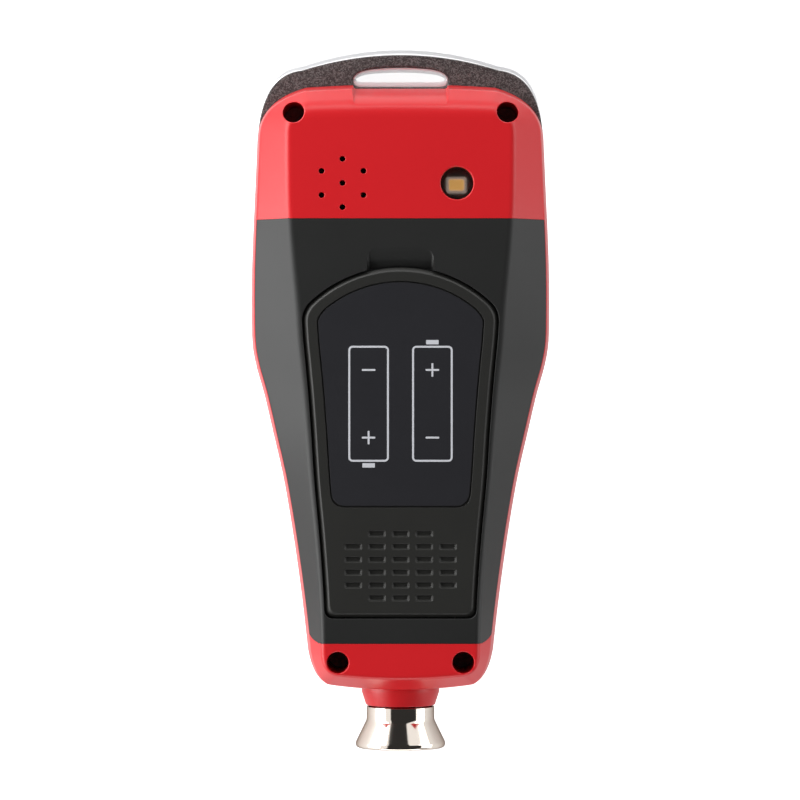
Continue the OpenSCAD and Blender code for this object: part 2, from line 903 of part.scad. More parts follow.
module tact_switches() {
    button_z = panel_back + key_flange_t + key_travel + switch_gap;
    color(black)
        translate([0, pad_y, 0])
            for (p = [[0, 0], [1, 0], [-1, 0], [0, 1], [0, -1]])
                translate(p * switch_ring_r) {
                    block(switch_w, switch_w, board_z - switch_t, board_z);
                    pin(switch_button_r, button_z, board_z - switch_t + 0.5);
                }
}

module board_screws() {
    color(steel)
        at_spots(post_spots) {
            pin(board_screw_r, shank_z, board_z + board_t + 0.5);
            pin(2 * board_screw_r, board_z + board_t, board_z + board_t + 1.2);
        }
}

module case_screws() {
    color(steel)
        at_spots(screw_spots)
            difference() {
                union() {
                    pin(screw_d / 2, shank_z, head_z + 0.5);
                    pin(head_r, head_z, head_z + head_t);
                }
                for (a = [0, 90])
                    rotate([0, 0, a])
                        block(2.4, 0.6, head_z + head_t / 2, head_z + head_t + 1);
            }
}

module buzzer() {
    color(black)
        translate([-buzzer_x, torch_y, 0])
            difference() {
                pin(buzzer_r - buzzer_fit, roof_z - buzzer_t, roof_z);
                pin(sound_hole_d, roof_z - 1, roof_z + 1);
            }
}

module torch_lens() {
    color([0.85, 0.9, 0.92])
        translate([torch_x, torch_y, 0])
            pin(torch_lens_r - torch_fit, torch_lens_z - torch_lens_t, torch_lens_z);
}

module torch_tube() {
    color(black)
        translate([torch_x, torch_y, 0])
            difference() {
                pin(torch_lens_r - torch_fit, torch_board_z, torch_lens_z - torch_lens_t);
                pin(torch_d / 2, torch_board_z - 1, case_t);
            }
}

module torch_led() {
    color([0.95, 0.9, 0.6])
        translate([torch_x, torch_y, 0])
            block(3.5, 2.8, torch_board_z, torch_board_z + 1.4);
}

module torch_board() {
    color([0.1, 0.35, 0.2])
        translate([torch_x, torch_y, 0])
            pin(torch_lens_r + torch_wall, torch_board_z - torch_board_t, torch_board_z);
}

// Cell along Y with its cap at the far end
module cell(x, low_y, flip) {
    body = cell_len - cap_len;
    translate([x, flip ? low_y + cell_len : low_y, cell_z])
        rotate([flip ? 90 : -90, 0, 0])
            rotate_extrude()
                polygon([
                    [0, 0], [cell_r - 0.4, 0], [cell_r, 0.4], [cell_r, body - 0.4],
                    [cell_r - 0.4, body], [cap_r, body], [cap_r, cell_len], [0, cell_len]
                ]);
}

module battery_cell_a() {
    color([0.85, 0.65, 0.25])
        cell(cell_x, bay_top - contact_t - cell_len, false);
}

module battery_cell_b() {
    color([0.85, 0.65, 0.25])
        cell(-cell_x, bay_bottom + contact_t, true);
}

module battery_springs() {
    color(steel) {
        translate([cell_x, bay_bottom + contact_t, cell_z])
            coil_spring(cell_spring_r0, cell_spring_r1, cell_wire_r, spring_len, 4);
        translate([-cell_x, bay_top - contact_t, cell_z])
            rotate([0, 0, 180])
                coil_spring(cell_spring_r0, cell_spring_r1, cell_wire_r, spring_len, 4);
    }
}

module battery_contacts() {
    plate_w = 2 * cell_r - 1;
    color(steel) {
        for (s = [-1, 1])
            translate([s * cell_x, bay_top - contact_t / 2, 0])
                block(plate_w, contact_t, cell_z - cell_r + 0.6, cell_z + cell_r - 0.6);
        translate([0, bay_bottom + contact_t / 2, 0])
            block(plate_w + 2 * cell_x, contact_t, cell_z - cell_r + 0.6, cell_z + cell_r - 0.6);
    }
}

module probe_sleeve() {
    color(steel)
        turned([
            [nose_r + nose_fit, foot_y], [foot_r - 0.6, foot_y], [foot_r - 0.2, foot_y + 0.2],
            [foot_r, foot_y + 0.6], [foot_r, foot_y + foot_rim - 0.35],
            [foot_r - 0.15, foot_y + foot_rim], [sleeve_d / 2, -neck_len - sleeve_straight],
            [sleeve_d / 2, -neck_len], [tail_r, -neck_len],
            [tail_r, tail_end], [spring_bore_r, tail_end], [spring_bore_r, stop_y],
            [nose_r + nose_fit, stop_y]
        ]);
}

module probe_nut() {
    color(steel)
        translate([0, neck_back, probe_z])
            rotate([-90, 0, 0])
                difference() {
                    cylinder(r = nut_r, h = nut_t, $fn = 6);
                    translate([0, 0, -1])
                        cylinder(r = tail_r + tail_fit, h = nut_t + 2);
                }
}

module probe_plunger() {
    color(steel)
        turned([
            [0, foot_y + tip_seat], [tip_r, foot_y + tip_seat], [tip_r, foot_y + 0.2],
            [nose_r - 0.4, foot_y + 0.2], [nose_r, foot_y + 0.6], [nose_r, coil_bottom],
            [coil_r, coil_bottom], [coil_r, coil_top], [nose_r, coil_top], [nose_r, stop_y],
            [flange_r, stop_y], [flange_r, stop_y + flange_t], [stem_r, stop_y + flange_t],
            [stem_r, tail_end - 0.5], [0, tail_end - 0.5]
        ]);
}

module probe_tip() {
    low = foot_y - tip_out;
    color([0.6, 0.6, 0.62])
        turned(concat(
            [[0, foot_y + tip_seat], [0, low]],
            [for (a = [15 : 15 : 90]) [tip_r * sin(a), low + tip_r * (1 - cos(a))]],
            [[tip_r, foot_y + tip_seat]]
        ));
}

module probe_coil() {
    color([0.72, 0.4, 0.2])
        turned([
            [coil_r, coil_bottom], [nose_r - 0.15, coil_bottom],
            [nose_r - 0.15, coil_top], [coil_r, coil_top]
        ]);
}

module probe_spring() {
    color(steel)
        translate([0, stop_y + flange_t, probe_z])
            coil_spring(spring_r, spring_r, spring_wire_r, tail_end - cap_plug - stop_y - flange_t, 6);
}

module probe_cap() {
    plug_r = spring_bore_r - tail_fit;
    color(black)
        turned([
            [stem_r + nose_fit, tail_end - cap_plug], [plug_r, tail_end - cap_plug],
            [plug_r, tail_end], [tail_r, tail_end], [tail_r, tail_end + cap_head],
            [stem_r + nose_fit, tail_end + cap_head]
        ]);
}

translate([0, y_origin, 0]) {
    rear_shell();
    rear_grip();
    battery_door();
    battery_door_label();
    front_shell();
    front_bezel();
    display_window();
    display_panel();
    display_holder();
    key_power();
    key_menu();
    key_zero();
    key_up();
    key_down();
    main_board();
    tact_switches();
    board_screws();
    case_screws();
    buzzer();
    torch_lens();
    torch_tube();
    torch_led();
    torch_board();
    battery_cell_a();
    battery_cell_b();
    battery_springs();
    battery_contacts();
    probe_sleeve();
    probe_nut();
    probe_plunger();
    probe_tip();
    probe_coil();
    probe_spring();
    probe_cap();
}
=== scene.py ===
"""Looks of a handheld coating thickness gauge, built around its packed construction."""
import math
from types import SimpleNamespace

import bpy
import numpy as np
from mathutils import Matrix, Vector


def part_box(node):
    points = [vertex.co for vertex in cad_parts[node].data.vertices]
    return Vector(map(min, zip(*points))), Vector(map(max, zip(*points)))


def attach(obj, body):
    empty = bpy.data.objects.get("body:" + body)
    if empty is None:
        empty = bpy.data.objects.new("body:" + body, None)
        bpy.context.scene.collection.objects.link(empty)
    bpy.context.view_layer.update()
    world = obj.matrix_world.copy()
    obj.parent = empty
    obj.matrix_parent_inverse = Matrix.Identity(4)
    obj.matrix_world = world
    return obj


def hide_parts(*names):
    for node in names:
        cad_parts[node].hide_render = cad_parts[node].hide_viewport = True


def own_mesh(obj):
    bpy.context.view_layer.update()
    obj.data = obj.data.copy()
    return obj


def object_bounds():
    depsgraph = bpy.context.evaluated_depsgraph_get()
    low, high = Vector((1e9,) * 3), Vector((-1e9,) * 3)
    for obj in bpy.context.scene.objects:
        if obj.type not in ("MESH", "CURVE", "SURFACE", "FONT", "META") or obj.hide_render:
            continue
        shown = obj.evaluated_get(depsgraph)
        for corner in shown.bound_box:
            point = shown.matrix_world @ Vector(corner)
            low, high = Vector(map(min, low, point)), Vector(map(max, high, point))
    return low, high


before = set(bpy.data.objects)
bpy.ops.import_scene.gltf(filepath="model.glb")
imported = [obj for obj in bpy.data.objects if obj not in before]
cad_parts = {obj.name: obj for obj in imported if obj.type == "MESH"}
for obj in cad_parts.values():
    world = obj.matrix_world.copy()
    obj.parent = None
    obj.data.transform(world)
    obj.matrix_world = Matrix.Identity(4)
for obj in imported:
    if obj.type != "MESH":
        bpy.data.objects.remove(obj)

bl_info = {
    "name": "Coating Thickness Gauge",
    "version": (1, 0, 0),
    "blender": (4, 5, 0),
    "location": "View3D > Sidebar > Gauge",
    "description": "Dresses the packed construction of a handheld coating thickness gauge",
    "category": "Object",
}

MM = 0.001
CAD_BOX = [list(corner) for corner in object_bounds()]

# Points on each stretch of an outline for every point of the construction's own
FINE = 4
ROUND_STEPS = 6
CIRCLE_STEPS = 64
TURN_STEPS = 128

# Sides of the case: share of the height, of the case's swell and of the flat back's swell
SIDE_SHAPE = np.array([
    (0, 0, 0), (0.102, 0.105, 0.041), (0.218, 0.251, 0.159), (0.333, 0.427, 0.317),
    (0.426, 0.617, 0.407), (0.5, 0.774, 0.49), (0.556, 0.916, 0.566), (0.602, 0.987, 0.634),
    (0.667, 1, 0.703), (0.741, 0.996, 0.814), (0.815, 0.974, 0.917), (0.889, 0.943, 0.979),
    (1, 0.9, 1),
])
SIDE_BOTTOM = 8.6
SIDE_TOP_GAP = 11.9
LUG_RISE = 6.3
BEZEL_RISE = 8.5

# Corners and bends of the outlines: how far inside the side they lie, and how far from the end
LOW_CORNER = (4.35, 1.1)
LOW_BEND = (1.15, 2.35)
CASE_CORNER = (11.6, 0.7)
CASE_BEND = (1.5, 3.5)
LUG_CORNER = (10.6, 3.3)
LUG_BEND = (2.0, 4.2)
BEZEL_CORNER = (10.6, 3.5)
BEZEL_BEND = (0.5, 4.4)
FLAT_LOW = 3.7
FLAT_LOW_CORNER = (3.7, 4.4)
FLAT_LOW_BEND = (0.1, 4.7)
FLAT_TOP_GAP = 5.9
FLAT_CORNER = (5.0, 6.1)
FLAT_BEND = (0.05, 6.3)

# Walls and levels of the two shells
WALL = 2.0
SIDE_DRAFT = 1.0
END_DRAFT = 1.9
PANEL_Z = 1.6
PANEL_BACK = 3.2
BEZEL_T = 3.0
BEZEL_W = 3.4
BEZEL_LEDGE = 2.1
BEZEL_STEP = 1.4
BEZEL_FRONT_R = 1.2
BEZEL_BACK_R = 0.5
BEZEL_LIP = 0.5
BEZEL_RISER = ((0.4, BEZEL_LEDGE + 0.03), (0.5, BEZEL_LEDGE + 0.12), (1, BEZEL_T))
PANEL_FIT = 0.1
RIM_FLOOR = 4.4
RIM_STEP = 0.5
LUG_EDGE = 0.3
BOARD_Z = 9.0
BOARD_TOP_GAP = 11.5
SEAM = 0.25

# Room inside the back, in shares of the skin: its drop under the crease and its way in at the flat
ROOM_DROP = 0.9
ROOM_IN = 0.42

# How far cutters reach past what they cut, and trims that keep walls from lying in one plane
OVERLAP = 1.0
CUT_OVER = 0.5
RIM_LIFT = 0.02
WALL_TRIM = 0.05
HAIR = 0.01

# Grip and finger notch
GRIP_TOP_GAP = 29.4
GRIP_BOTTOM = 11.0
GRIP_CORNER = 4.0
GRIP_HAIRLINE = 0.06
GRIP_RIM = 0.4
GRIP_SIDE = 0.2
GRIP_BEND = 0.5
SEAT_IN = (1.41, 0.41)
# Painted shade on the red ledge under the door's edge: how far under the grip's floor it lies, and its half
# height
LEDGE_BELOW = 0.1
LEDGE_SHADE_BAND = 0.3
NOTCH_W = 13.9
NOTCH_LEN = 4.1
NOTCH_DEPTH = 1.6
NOTCH_CORNER = 2.4
NOTCH_ROUND = 0.7
NOTCH_FALL = 1.9
NOTCH_PAST = 2.0
NOTCH_STEPS = 25
NOTCH_SPREAD = 1.5

# Battery door, its field and its grip slots
DOOR_TOP_GAP = 10.2
DOOR_BOTTOM = 16.5
DOOR_MARGIN = 0.95
DOOR_ARCH_R = 27.1
DOOR_CORNER = 1.9
DOOR_WIDE_GAP = 9.0
DOOR_SHOULDER = (1.7, 2.4)
DOOR_STEPS = 40
DOOR_EDGE = ((0, 0.8), (0.06, 0.68), (0.66, 0.16), (0.74, 0.1), (0.85, 0.04), (1, 0))
LABEL_RIM = 2.75
LABEL_LOW = 39.2
LABEL_DEPTH = 0.25
LABEL_CORNER = 2.8
LABEL_FIT = 0.35
LABEL_GROOVE = 0.6
LABEL_ROUND = 0.06
LABEL_CHAMFER = 0.05
CELL_MARK = SimpleNamespace(
    w=8.4, h=24.0, up=8.0, apart=2.4, corner=0.9, line=0.4, pole=(2.6, 0.9, 0.75), sign=2.8, sign_at=7.0)
SLOT_W = 3.5
SLOT_H = 1.2
SLOT_DEPTH = 0.5
SLOT_TAPER = 0.3
SLOT_CORNER = 0.3
SLOT_RIM = 0.14
SLOT_PITCH = (4.9, 2.66)
SLOT_FIRST = 20.5
SLOT_ROWS = (1, 2, 2, 2, 2, 1)
HOOK = SimpleNamespace(w=5.0, x=8.5, out=1.6, t=1.2, drop=0.3, root=1.5, room=0.4)
CATCH = SimpleNamespace(w=9.0, t=1.4, drop=2.4, back=2.6)

# Battery bay
BAY_LEN = 50.5
BAY_W = 21.5
BAY_FLOOR = 18.6
BAY_WALL = 1.5

# Screws, torch and buzzer
SCREW_LOW = (13.0, 7.1)
SCREW_TOP_X = 22.2
SCREW_TOP_GAP = 7.3
SCREW_HOLE_R = 2.25
SCREW_SHANK_R = 1.15
SCREW_HEAD_Z = 13.5
SCREW_FOOT = 4.5
BOSS_R = 3.8
TORCH_GAP = 22.1
TORCH_X = 11.7
TORCH_R = 3.4
TORCH_LENS_R = 3.9
TORCH_LENS_Z = 28.8
TORCH_LENS_T = 1.2
TORCH_LENS_FIT = 0.05
TORCH_DOME = (2.8, 0.32)
TORCH_EDGE = 0.1
TORCH_WALL = 1.5
TORCH_BOARD_Z = 23.2
LED_W = 3.5
LED_H = 2.8
LED_T = 1.4
LED_CORNER = 0.3
LED_EDGE = ((0, LED_T), (0, 0.1), (0.1, 0), (0.3, 0), (0.45, 0.25))
PHOSPHOR_W = 2.6
PHOSPHOR_H = 1.9
PHOSPHOR_RISE = 0.2
PHOSPHOR_SINK = 0.24
PHOSPHOR_TURN = 1.5
BUZZER_X = -12.0
BUZZER_R = 6.9
BUZZER_T = 4.0
BUZZER_WALL = 1.2
SOUND_HOLE_R = 0.6
SOUND_RING_R = 5.0

# Lanyard slot
LANYARD_HALF_W = 10.2
LANYARD_H = 4.35
LANYARD_BACK = 0.6
LANYARD_CORNER = 1.9
LANYARD_END = 0.32
LANYARD_BEND = (0.2, 0.74)
LANYARD_SHOULDER = (3.7, 0.9)
LANYARD_BOW = 1.8
BEZEL_SLOT_UP = 1.65
BEZEL_SLOT_RIM = 0.6
BEZEL_SLOT_EDGE = ((0.4, 0), (0.12, 0.12), (0, 0.4))
COLLAR_Z = 10.5
COLLAR_W = 1.15
COLLAR_SIDE = 0.4
COLLAR_FIT = 0.05
COLLAR_EDGE = 0.25
COLLAR_BEND = 0.3
SCOOP_LEN = 6.8
SCOOP_SIDE = 1.4
SCOOP_CORNER = 1.8
SCOOP_BEND = (2.9, 2.4)
SCOOP_FOOT = (0.3, 2.2)
SCOOP_SHARES = (0, 0.1, 0.5, 0.9, 1)

# Display and keys
WINDOW_W = 47.0
WINDOW_H = 38.0
WINDOW_GAP = 30.5
WINDOW_T = 1.1
WINDOW_SINK = 0.6
WINDOW_CORNER = 2.5
WINDOW_EDGE = 0.3
WINDOW_BORDER = 3.4
VIEW_EDGE = 2.2
VIEW_CORNER = 0.6
PAD_Y = 50.6
KEY_FACE = 0.6
KEY_FIT = 0.2
KEY_BACK = 4.2
KEY_ROUND = 0.5
KEY_FLANGE = 0.8
ROUND_KEY_R = 6.0
ARCH_KEY_R = (8.4, 15.4)
ARCH_ANGLE = 76.0
ARCH_KEYS = {"zero": 0, "up": 90, "menu": 180, "down": 270}
KEY_CORNER = 0.8
KEY_CORNER_LEAST = 0.3
KEY_STEPS = 16
POST_R = 1.9
POST_BORE_R = 1.0
POST_TOP = (5.7, 11.0)
POST_LOW = (5.6, 26.6)

# Print on the film and the keys: its height over the face and its depth in it
PRINT_RISE = 0.02
PRINT_ROOT = 0.005

# Marks on the keys: width, height and pitch of the bars; width, height, corner and line of the ring;
# radius, line and ends of the power mark's bar, and its arc's ends in degrees with the number of points;
# half width, foot and point of the arrows
MENU_MARK = (2.6, 0.4, 1.0)
ZERO_MARK = (2.2, 3.2, 1.05, 0.42)
POWER_MARK = (2.2, 0.5, 0.5, 2.6)
POWER_ARC = (122, 418, 40)
ARROW_MARK = (1.5, -0.9, 1.2)

# Probe, as radius and Y about its own axis
PROBE_Z = 15.5
NECK_R = 8.2
NECK_TIP_R = 7.4
NECK_LEN = 2.85
NECK_BACK = 4.2
NECK_ROUND = 0.45
NECK_FIT = 0.2
TAIL_R = 5.8
TAIL_END = 15.6
TAIL_FIT = 0.05
SLEEVE_R = 7.15
SLEEVE_STRAIGHT = 3.05
SLEEVE_FILLET = (0.2, 0.4)
GROOVE_W = 0.25
GROOVE_DEPTH = 0.4
GROOVE_EDGE = 0.1
# Painted shadow in the groove under the neck, dark red
GROOVE_PAINTED_SHADE = (0.03, 0.012, 0.012, 1)
FOOT_R = 9.45
FOOT_Y = -11.8
FOOT_RIM = 1.5
FOOT_ROUND = 0.7
FOOT_STEPS = 8
FOOT_BACK = (0.15, 0.35)
NOSE_EDGE = 0.15
AXIS_R = 0.01
NOSE_BORE_R = 4.0
SPRING_BORE_R = 4.9
STOP_Y = 0.6
SPRING_R = 3.2
SPRING_WIRE_R = 0.3
SPRING_TURNS = 6
SPRING_STEPS = 40
WIRE_STEPS = 12

# Colours along a cell from its minus to its plus end, each with the share where it starts
CELL_WRAP = (
    (0, (0.6, 0.6, 0.6)), (0.012, (0.02, 0.03, 0.05)), (0.7, (0.35, 0.38, 0.42)), (0.965, (0.6, 0.6, 0.6)))

# Finishes of the inner pieces, with the nodes that take them
INNER_FINISHES = {
    "black_plastic_finish": (("tact_switches", "buzzer", "probe_cap"), {
        "base": (0.012, 0.012, 0.013), "roughness": 0.5, "drift": 0.15, "drift_scale": 200.0,
        "grain": (4000.0, 0.00001)}),
    "contact_nickel_finish": (("battery_springs", "battery_contacts"), {
        "base": (0.66, 0.64, 0.6), "roughness": 0.22, "drift": 0.25, "drift_scale": 500.0, "metallic": 1.0}),
    "board_finish": (("main_board",), {
        "base": (0.02, 0.12, 0.05), "roughness": 0.35, "drift": 0.2, "drift_scale": 250.0,
        "grain": (2500.0, 0.00001)}),
    "display_finish": (("display_panel",), {
        "base": (0.3, 0.34, 0.3), "roughness": 0.12, "drift": 0.06, "drift_scale": 80.0}),
    "holder_finish": (("display_holder",), {
        "base": (0.8, 0.8, 0.78), "roughness": 0.5, "drift": 0.05, "drift_scale": 120.0,
        "grain": (3000.0, 0.00001)}),
    "torch_board_finish": (("torch_board",), {
        "base": (0.06, 0.035, 0.03), "roughness": 0.5, "drift": 0.2, "drift_scale": 900.0}),
    "torch_tube_finish": (("torch_tube",), {
        "base": (0.04, 0.016, 0.015), "roughness": 0.4, "drift": 0.2, "drift_scale": 500.0}),
    "case_screw_finish": (("case_screws",), {
        "base": (0.25, 0.24, 0.24), "roughness": 0.5, "drift": 0.25, "drift_scale": 600.0, "metallic": 1.0}),
    "tip_finish": (("probe_tip",), {
        "base": (0.6, 0.6, 0.62), "roughness": 0.12, "drift": 0.1, "drift_scale": 500.0, "metallic": 1.0}),
    "coil_finish": (("probe_coil",), {
        "base": (0.5, 0.22, 0.1), "roughness": 0.35, "drift": 0.3, "drift_scale": 2500.0, "metallic": 1.0}),
}

# Studio: half width of the floor in metres, its glow, and how far off gloss still shows it bright
FLOOR_HALF = 12.0
FLOOR_TONE = 0.78
FLOOR_ROUGHNESS = 0.9
FLOOR_GLOW = 0.85
SHEEN_REACH = (0.011, 0.013)
SHEEN_LEAST = 0.22

# Dark ceiling that gloss shows: way along X, edge and slant of its two sides, blur of those edges, heights
# between which it ends, its end on the lug side with the share left there, and its least brightness
CEILING_SIDES = ((-1.0, 0.55, 0.16), (1.0, 0.93, 0.9))
CEILING_BLUR = 0.03
CEILING_FOOT = (0.7, 0.1)
CEILING_LUG = (-0.3, 0.1, 0.25)
CEILING_LEAST = 0.03

# Soft boxes: name, setting of their brightness, place and size in metres
SOFT_BOXES = (
    ("left_box", "left", (-0.45, 0.12, 0.18), (1.0, 0.36)),
    ("right_box", "right", (1.2, 0.1, 0.4), (1.6, 0.8)),
    ("lug_box", "lug_end", (0, 0.95, 0.4), (1.4, 0.36)),
    ("probe_box", "probe_end", (0, -1.1, 0.2), (1.4, 0.3)),
)


def mm(length):
    return length / MM


def dimension(title, description, value):
    return bpy.props.FloatProperty(name=title, description=description, default=value, unit="LENGTH")


def brightness(title, description, value):
    return bpy.props.FloatProperty(name=title, description=description, default=value, min=0)


def colour(title, description, value):
    return bpy.props.FloatVectorProperty(
        name=title, description=description, default=value, size=3, min=0, max=1, subtype="COLOR")


class GaugeSizes(bpy.types.PropertyGroup):
    """Sizes of the gauge that a user would change."""

    case_len: dimension("Case length", "Length of the case without the lug and the probe", 128.5 * MM)
    hip_w: dimension("Hip width", "Width across the widest place", 63.18 * MM)
    tail_w: dimension("Tail width", "Width at the probe end of the sides", 39.3 * MM)
    flat_top_w: dimension("Shoulder width", "Width of the flat back at the shoulders", 46.9 * MM)
    flat_tail_w: dimension("Back width at the tail", "Width of the flat back at the probe end", 32.4 * MM)
    case_t: dimension("Thickness", "From the bezel front to the flat back", CAD_BOX[1][2])
    part_z: dimension("Parting line", "Height of the seam between the two shells", 11 * MM)
    crease_z: dimension("Crease", "Height at which the walls turn into the bevels", 24.5 * MM)
    grip_t: dimension("Grip thickness", "Thickness of the dark grip skin", 1.8 * MM)
    door_gap: dimension("Door gap", "Gap around the battery door", 0.3 * MM)
    crease_round: dimension("Crease rounding", "Reach of the rounding along the crease", 0.6 * MM)
    back_round: dimension("Back rounding", "Reach of the rounding along the flat back's sides", 0.9 * MM)
    lug_round: dimension("Shoulder rounding", "Reach of the rounding at the flat back's lug end", 2.8 * MM)
    rim_round: dimension("Rim rounding", "Rounding of the rims of holes and openings", 0.3 * MM)


class GaugeColours(bpy.types.PropertyGroup):
    """Colours of the gauge that a user would change."""

    red: colour("Red", "Rear shell and round key", (0.62, 0.0065, 0.0115))
    grip: colour("Grip", "Overmoulded skin", (0.0128, 0.0132, 0.0128))
    door: colour("Door", "Battery door", (0.0155, 0.0155, 0.0138))
    label: colour("Label", "Film in the door's field", (0.0142, 0.0142, 0.0178))
    ink: colour("Ink", "Print on the film and the keys", (0.55, 0.56, 0.6))
    charcoal: colour("Charcoal", "Front shell", (0.032, 0.028, 0.028))
    fleck: colour("Fleck", "Metallic fleck in the charcoal", (0.15, 0.14, 0.137))
    silver: colour("Silver", "Bezel frame", (0.93, 0.93, 0.945))
    nickel: colour("Nickel", "Plated probe sleeve", (0.86, 0.78, 0.7))


class StudioSettings(bpy.types.PropertyGroup):
    """Camera and light of the studio."""

    camera_height: dimension("Camera height", "Height of the camera over the floor", 0.78)
    camera_x: dimension("Camera X", "Sideways place of the camera", -0.0001)
    camera_y: dimension("Camera Y", "Lengthwise place of the camera", -0.00082)
    lens: bpy.props.FloatProperty(
        name="Lens", description="Focal length on a 36 mm sensor", default=162.9)
    fill: bpy.props.FloatProperty(
        name="Fill", description="Even light from all round", default=0.36, subtype="FACTOR")
    left: brightness("Left box", "Brightness of the soft box on the left", 4.3)
    right: brightness("Right box", "Brightness of the soft box on the right", 1.5)
    lug_end: brightness("Lug-end box", "Brightness of the soft box beyond the lug", 2.6)
    probe_end: brightness("Probe-end box", "Brightness of the soft box beyond the probe", 3.4)


def curve(a, b, c, steps):
    """Quadratic curve (1-t)^2 a + 2t(1-t) b + t^2 c at steps values of t from 0, without its last point."""
    t = np.arange(steps)[:, None] / steps
    return (1 - t) ** 2 * np.array(a) + 2 * t * (1 - t) * np.array(b) + t ** 2 * np.array(c)


def smooth(points, steps):
    """Cubic line through all the points, with the slope at each from its last to its next neighbour."""
    p = np.asarray(points, float)
    i = np.arange(len(p) - 1)
    a, b, c, d = p[np.maximum(i - 1, 0)], p[i], p[i + 1], p[np.minimum(i + 2, len(p) - 1)]
    a, b, c, d = a[:, None], b[:, None], c[:, None], d[:, None]
    t = (np.arange(steps) / steps)[None, :, None]
    line = b + 0.5 * t * (c - a + t * (2 * a - 5 * b + 4 * c - d + t * (3 * (b - c) + d - a)))
    return line.reshape(-1, 2)


def half_outline(low_y, low_corner, low_bend, side, top_bend, top_corner, top_y):
    """Right half of an outline, from the middle of the probe end round to the middle of the lug end."""
    return np.vstack([
        curve((0, low_y), (low_corner[0] / 2, low_y), low_corner, 3 * FINE),
        curve(low_corner, low_bend, side[0], 5 * FINE),
        smooth(side, 2 * FINE),
        curve(side[-1], top_bend, top_corner, 6 * FINE),
        curve(top_corner, (top_corner[0] / 2, top_y), (0, top_y), 3 * FINE),
        [(0, top_y)],
    ])


def outward(half):
    """Unit normals of a half outline: the chord between the two neighbours, turned a quarter."""
    run = np.empty_like(half)
    run[1:-1] = half[2:] - half[:-2]
    run[0] = (1, 0)
    run[-1] = (-1, 0)
    out = np.stack([run[:, 1], -run[:, 0]], 1)
    return out / np.linalg.norm(out, axis=1, keepdims=True)


def inset(half, d, more=0.0):
    """Half outline moved inwards by d along its normals, and by more besides where it faces the lug end.
    Points that come nearer than d to the outline are spread on the straight line across the fold."""
    out = outward(half)
    moved = half - (d + more * np.maximum(out[:, 1:], 0) ** 2) * out
    gap = np.linalg.norm(moved[:, None] - half[None], axis=2).min(1)
    clear = gap >= 0.999 * abs(d)
    i = np.arange(len(half))
    return np.column_stack([np.interp(i, i[clear], moved[clear, axis]) for axis in (0, 1)])


def whole(half, z):
    """Closed outline at height z: the half and its mirror image."""
    flat = np.vstack([half, (half * (-1, 1))[-2:0:-1]])
    return np.column_stack([flat, np.full(len(flat), z)])


def circle(x, y, r, z, steps=CIRCLE_STEPS):
    a = np.arange(steps) * 2 * math.pi / steps
    return np.column_stack([x + r * np.cos(a), y + r * np.sin(a), np.full(steps, z)])


def rounded_rectangle(x, y, w, h, r, z, steps=ROUND_STEPS):
    """Closed outline of four quarter circles of radius r, whose centres are r inside the corners."""
    a = np.linspace(0, math.pi / 2, steps + 1)
    turn = np.concatenate([a + k * math.pi / 2 for k in range(4)])
    sides = np.repeat([(1, 1), (-1, 1), (-1, -1), (1, -1)], steps + 1, axis=0)
    corner = sides * (w / 2 - r, h / 2 - r)
    flat = corner + r * np.stack([np.cos(turn), np.sin(turn)], 1) + (x, y)
    return np.column_stack([flat, np.full(len(flat), z)])


def loft(rings, closed=False):
    """Skin over a stack of outlines: point i of ring k is joined to its neighbours along and across.
    The ends are capped, or the last ring is joined to the first one if closed."""
    rings = np.asarray(rings)
    count, around = rings.shape[:2]
    i = np.arange(around)
    j = (i + 1) % around
    k = np.arange(count if closed else count - 1)[:, None]
    low, high = k * around, (k + 1) % count * around
    faces = np.stack([low + i, low + j, high + j, high + i], -1).reshape(-1, 4).tolist()
    if not closed:
        faces += [i[::-1].tolist(), (i + (count - 1) * around).tolist()]
    return rings.reshape(-1, 3), faces


def together(*skins):
    """Several skins as one."""
    starts = np.cumsum([0] + [len(points) for points, _ in skins])
    faces = [[v + start for v in face] for start, (_, part) in zip(starts, skins) for face in part]
    return np.vstack([points for points, _ in skins]), faces


def spindle(x, y, profile, steps=CIRCLE_STEPS):
    """Upright turned solid from pairs of radius and height, from the lowest to the highest."""
    return loft([circle(x, y, r, z, steps) for r, z in profile])


def block(x0, x1, y0, y1, z0, z1):
    corners = np.array([(x0, y0), (x1, y0), (x1, y1), (x0, y1)])
    return loft([np.column_stack([corners, np.full(4, z)]) for z in (z0, z1)])


def prism(half, z0, z1):
    return loft([whole(half, z0), whole(half, z1)])


def quarter(r, steps=ROUND_STEPS):
    """Offsets along and across a rounded edge: r (1 - cos a) and r sin a, with a up to a quarter turn."""
    a = np.linspace(0, math.pi / 2, steps + 1)
    return list(zip(r * (1 - np.cos(a)), r * np.sin(a)))


def flared(ring_at, z0, rim_z, r):
    """Cutter whose outline ring_at(grow, z) widens by r over the last r under the rim: a rounded rim."""
    rings = [ring_at(0, z0)]
    rings += [ring_at(across, rim_z - r + along) for across, along in quarter(r)]
    return loft(rings + [ring_at(r, rim_z + OVERLAP)])


def rounded_edge(before, corner, after, reach):
    """Rings of a rounded edge: a quadratic curve that leaves the line to before and the line to after
    at the distance reach from the corner and bends towards it."""
    def towards(other):
        way = other - corner
        return corner + way / np.linalg.norm(way, axis=1, keepdims=True) * reach
    start, end = towards(before), towards(after)
    t = np.linspace(0, 1, ROUND_STEPS + 1)[:, None, None]
    return list((1 - t) ** 2 * start + 2 * t * (1 - t) * corner + t ** 2 * end)


def turned(profile, closed, steps=TURN_STEPS):
    """Turned solid on the probe's axis: each pair of radius and Y becomes a circle round that axis."""
    r, y = np.array(profile, float).T
    a = np.arange(steps) * 2 * math.pi / steps
    rings = np.stack([
        r[:, None] * np.sin(a), np.repeat(y[:, None], steps, 1), PROBE_Z + r[:, None] * np.cos(a),
    ], -1)
    return loft(rings, closed)


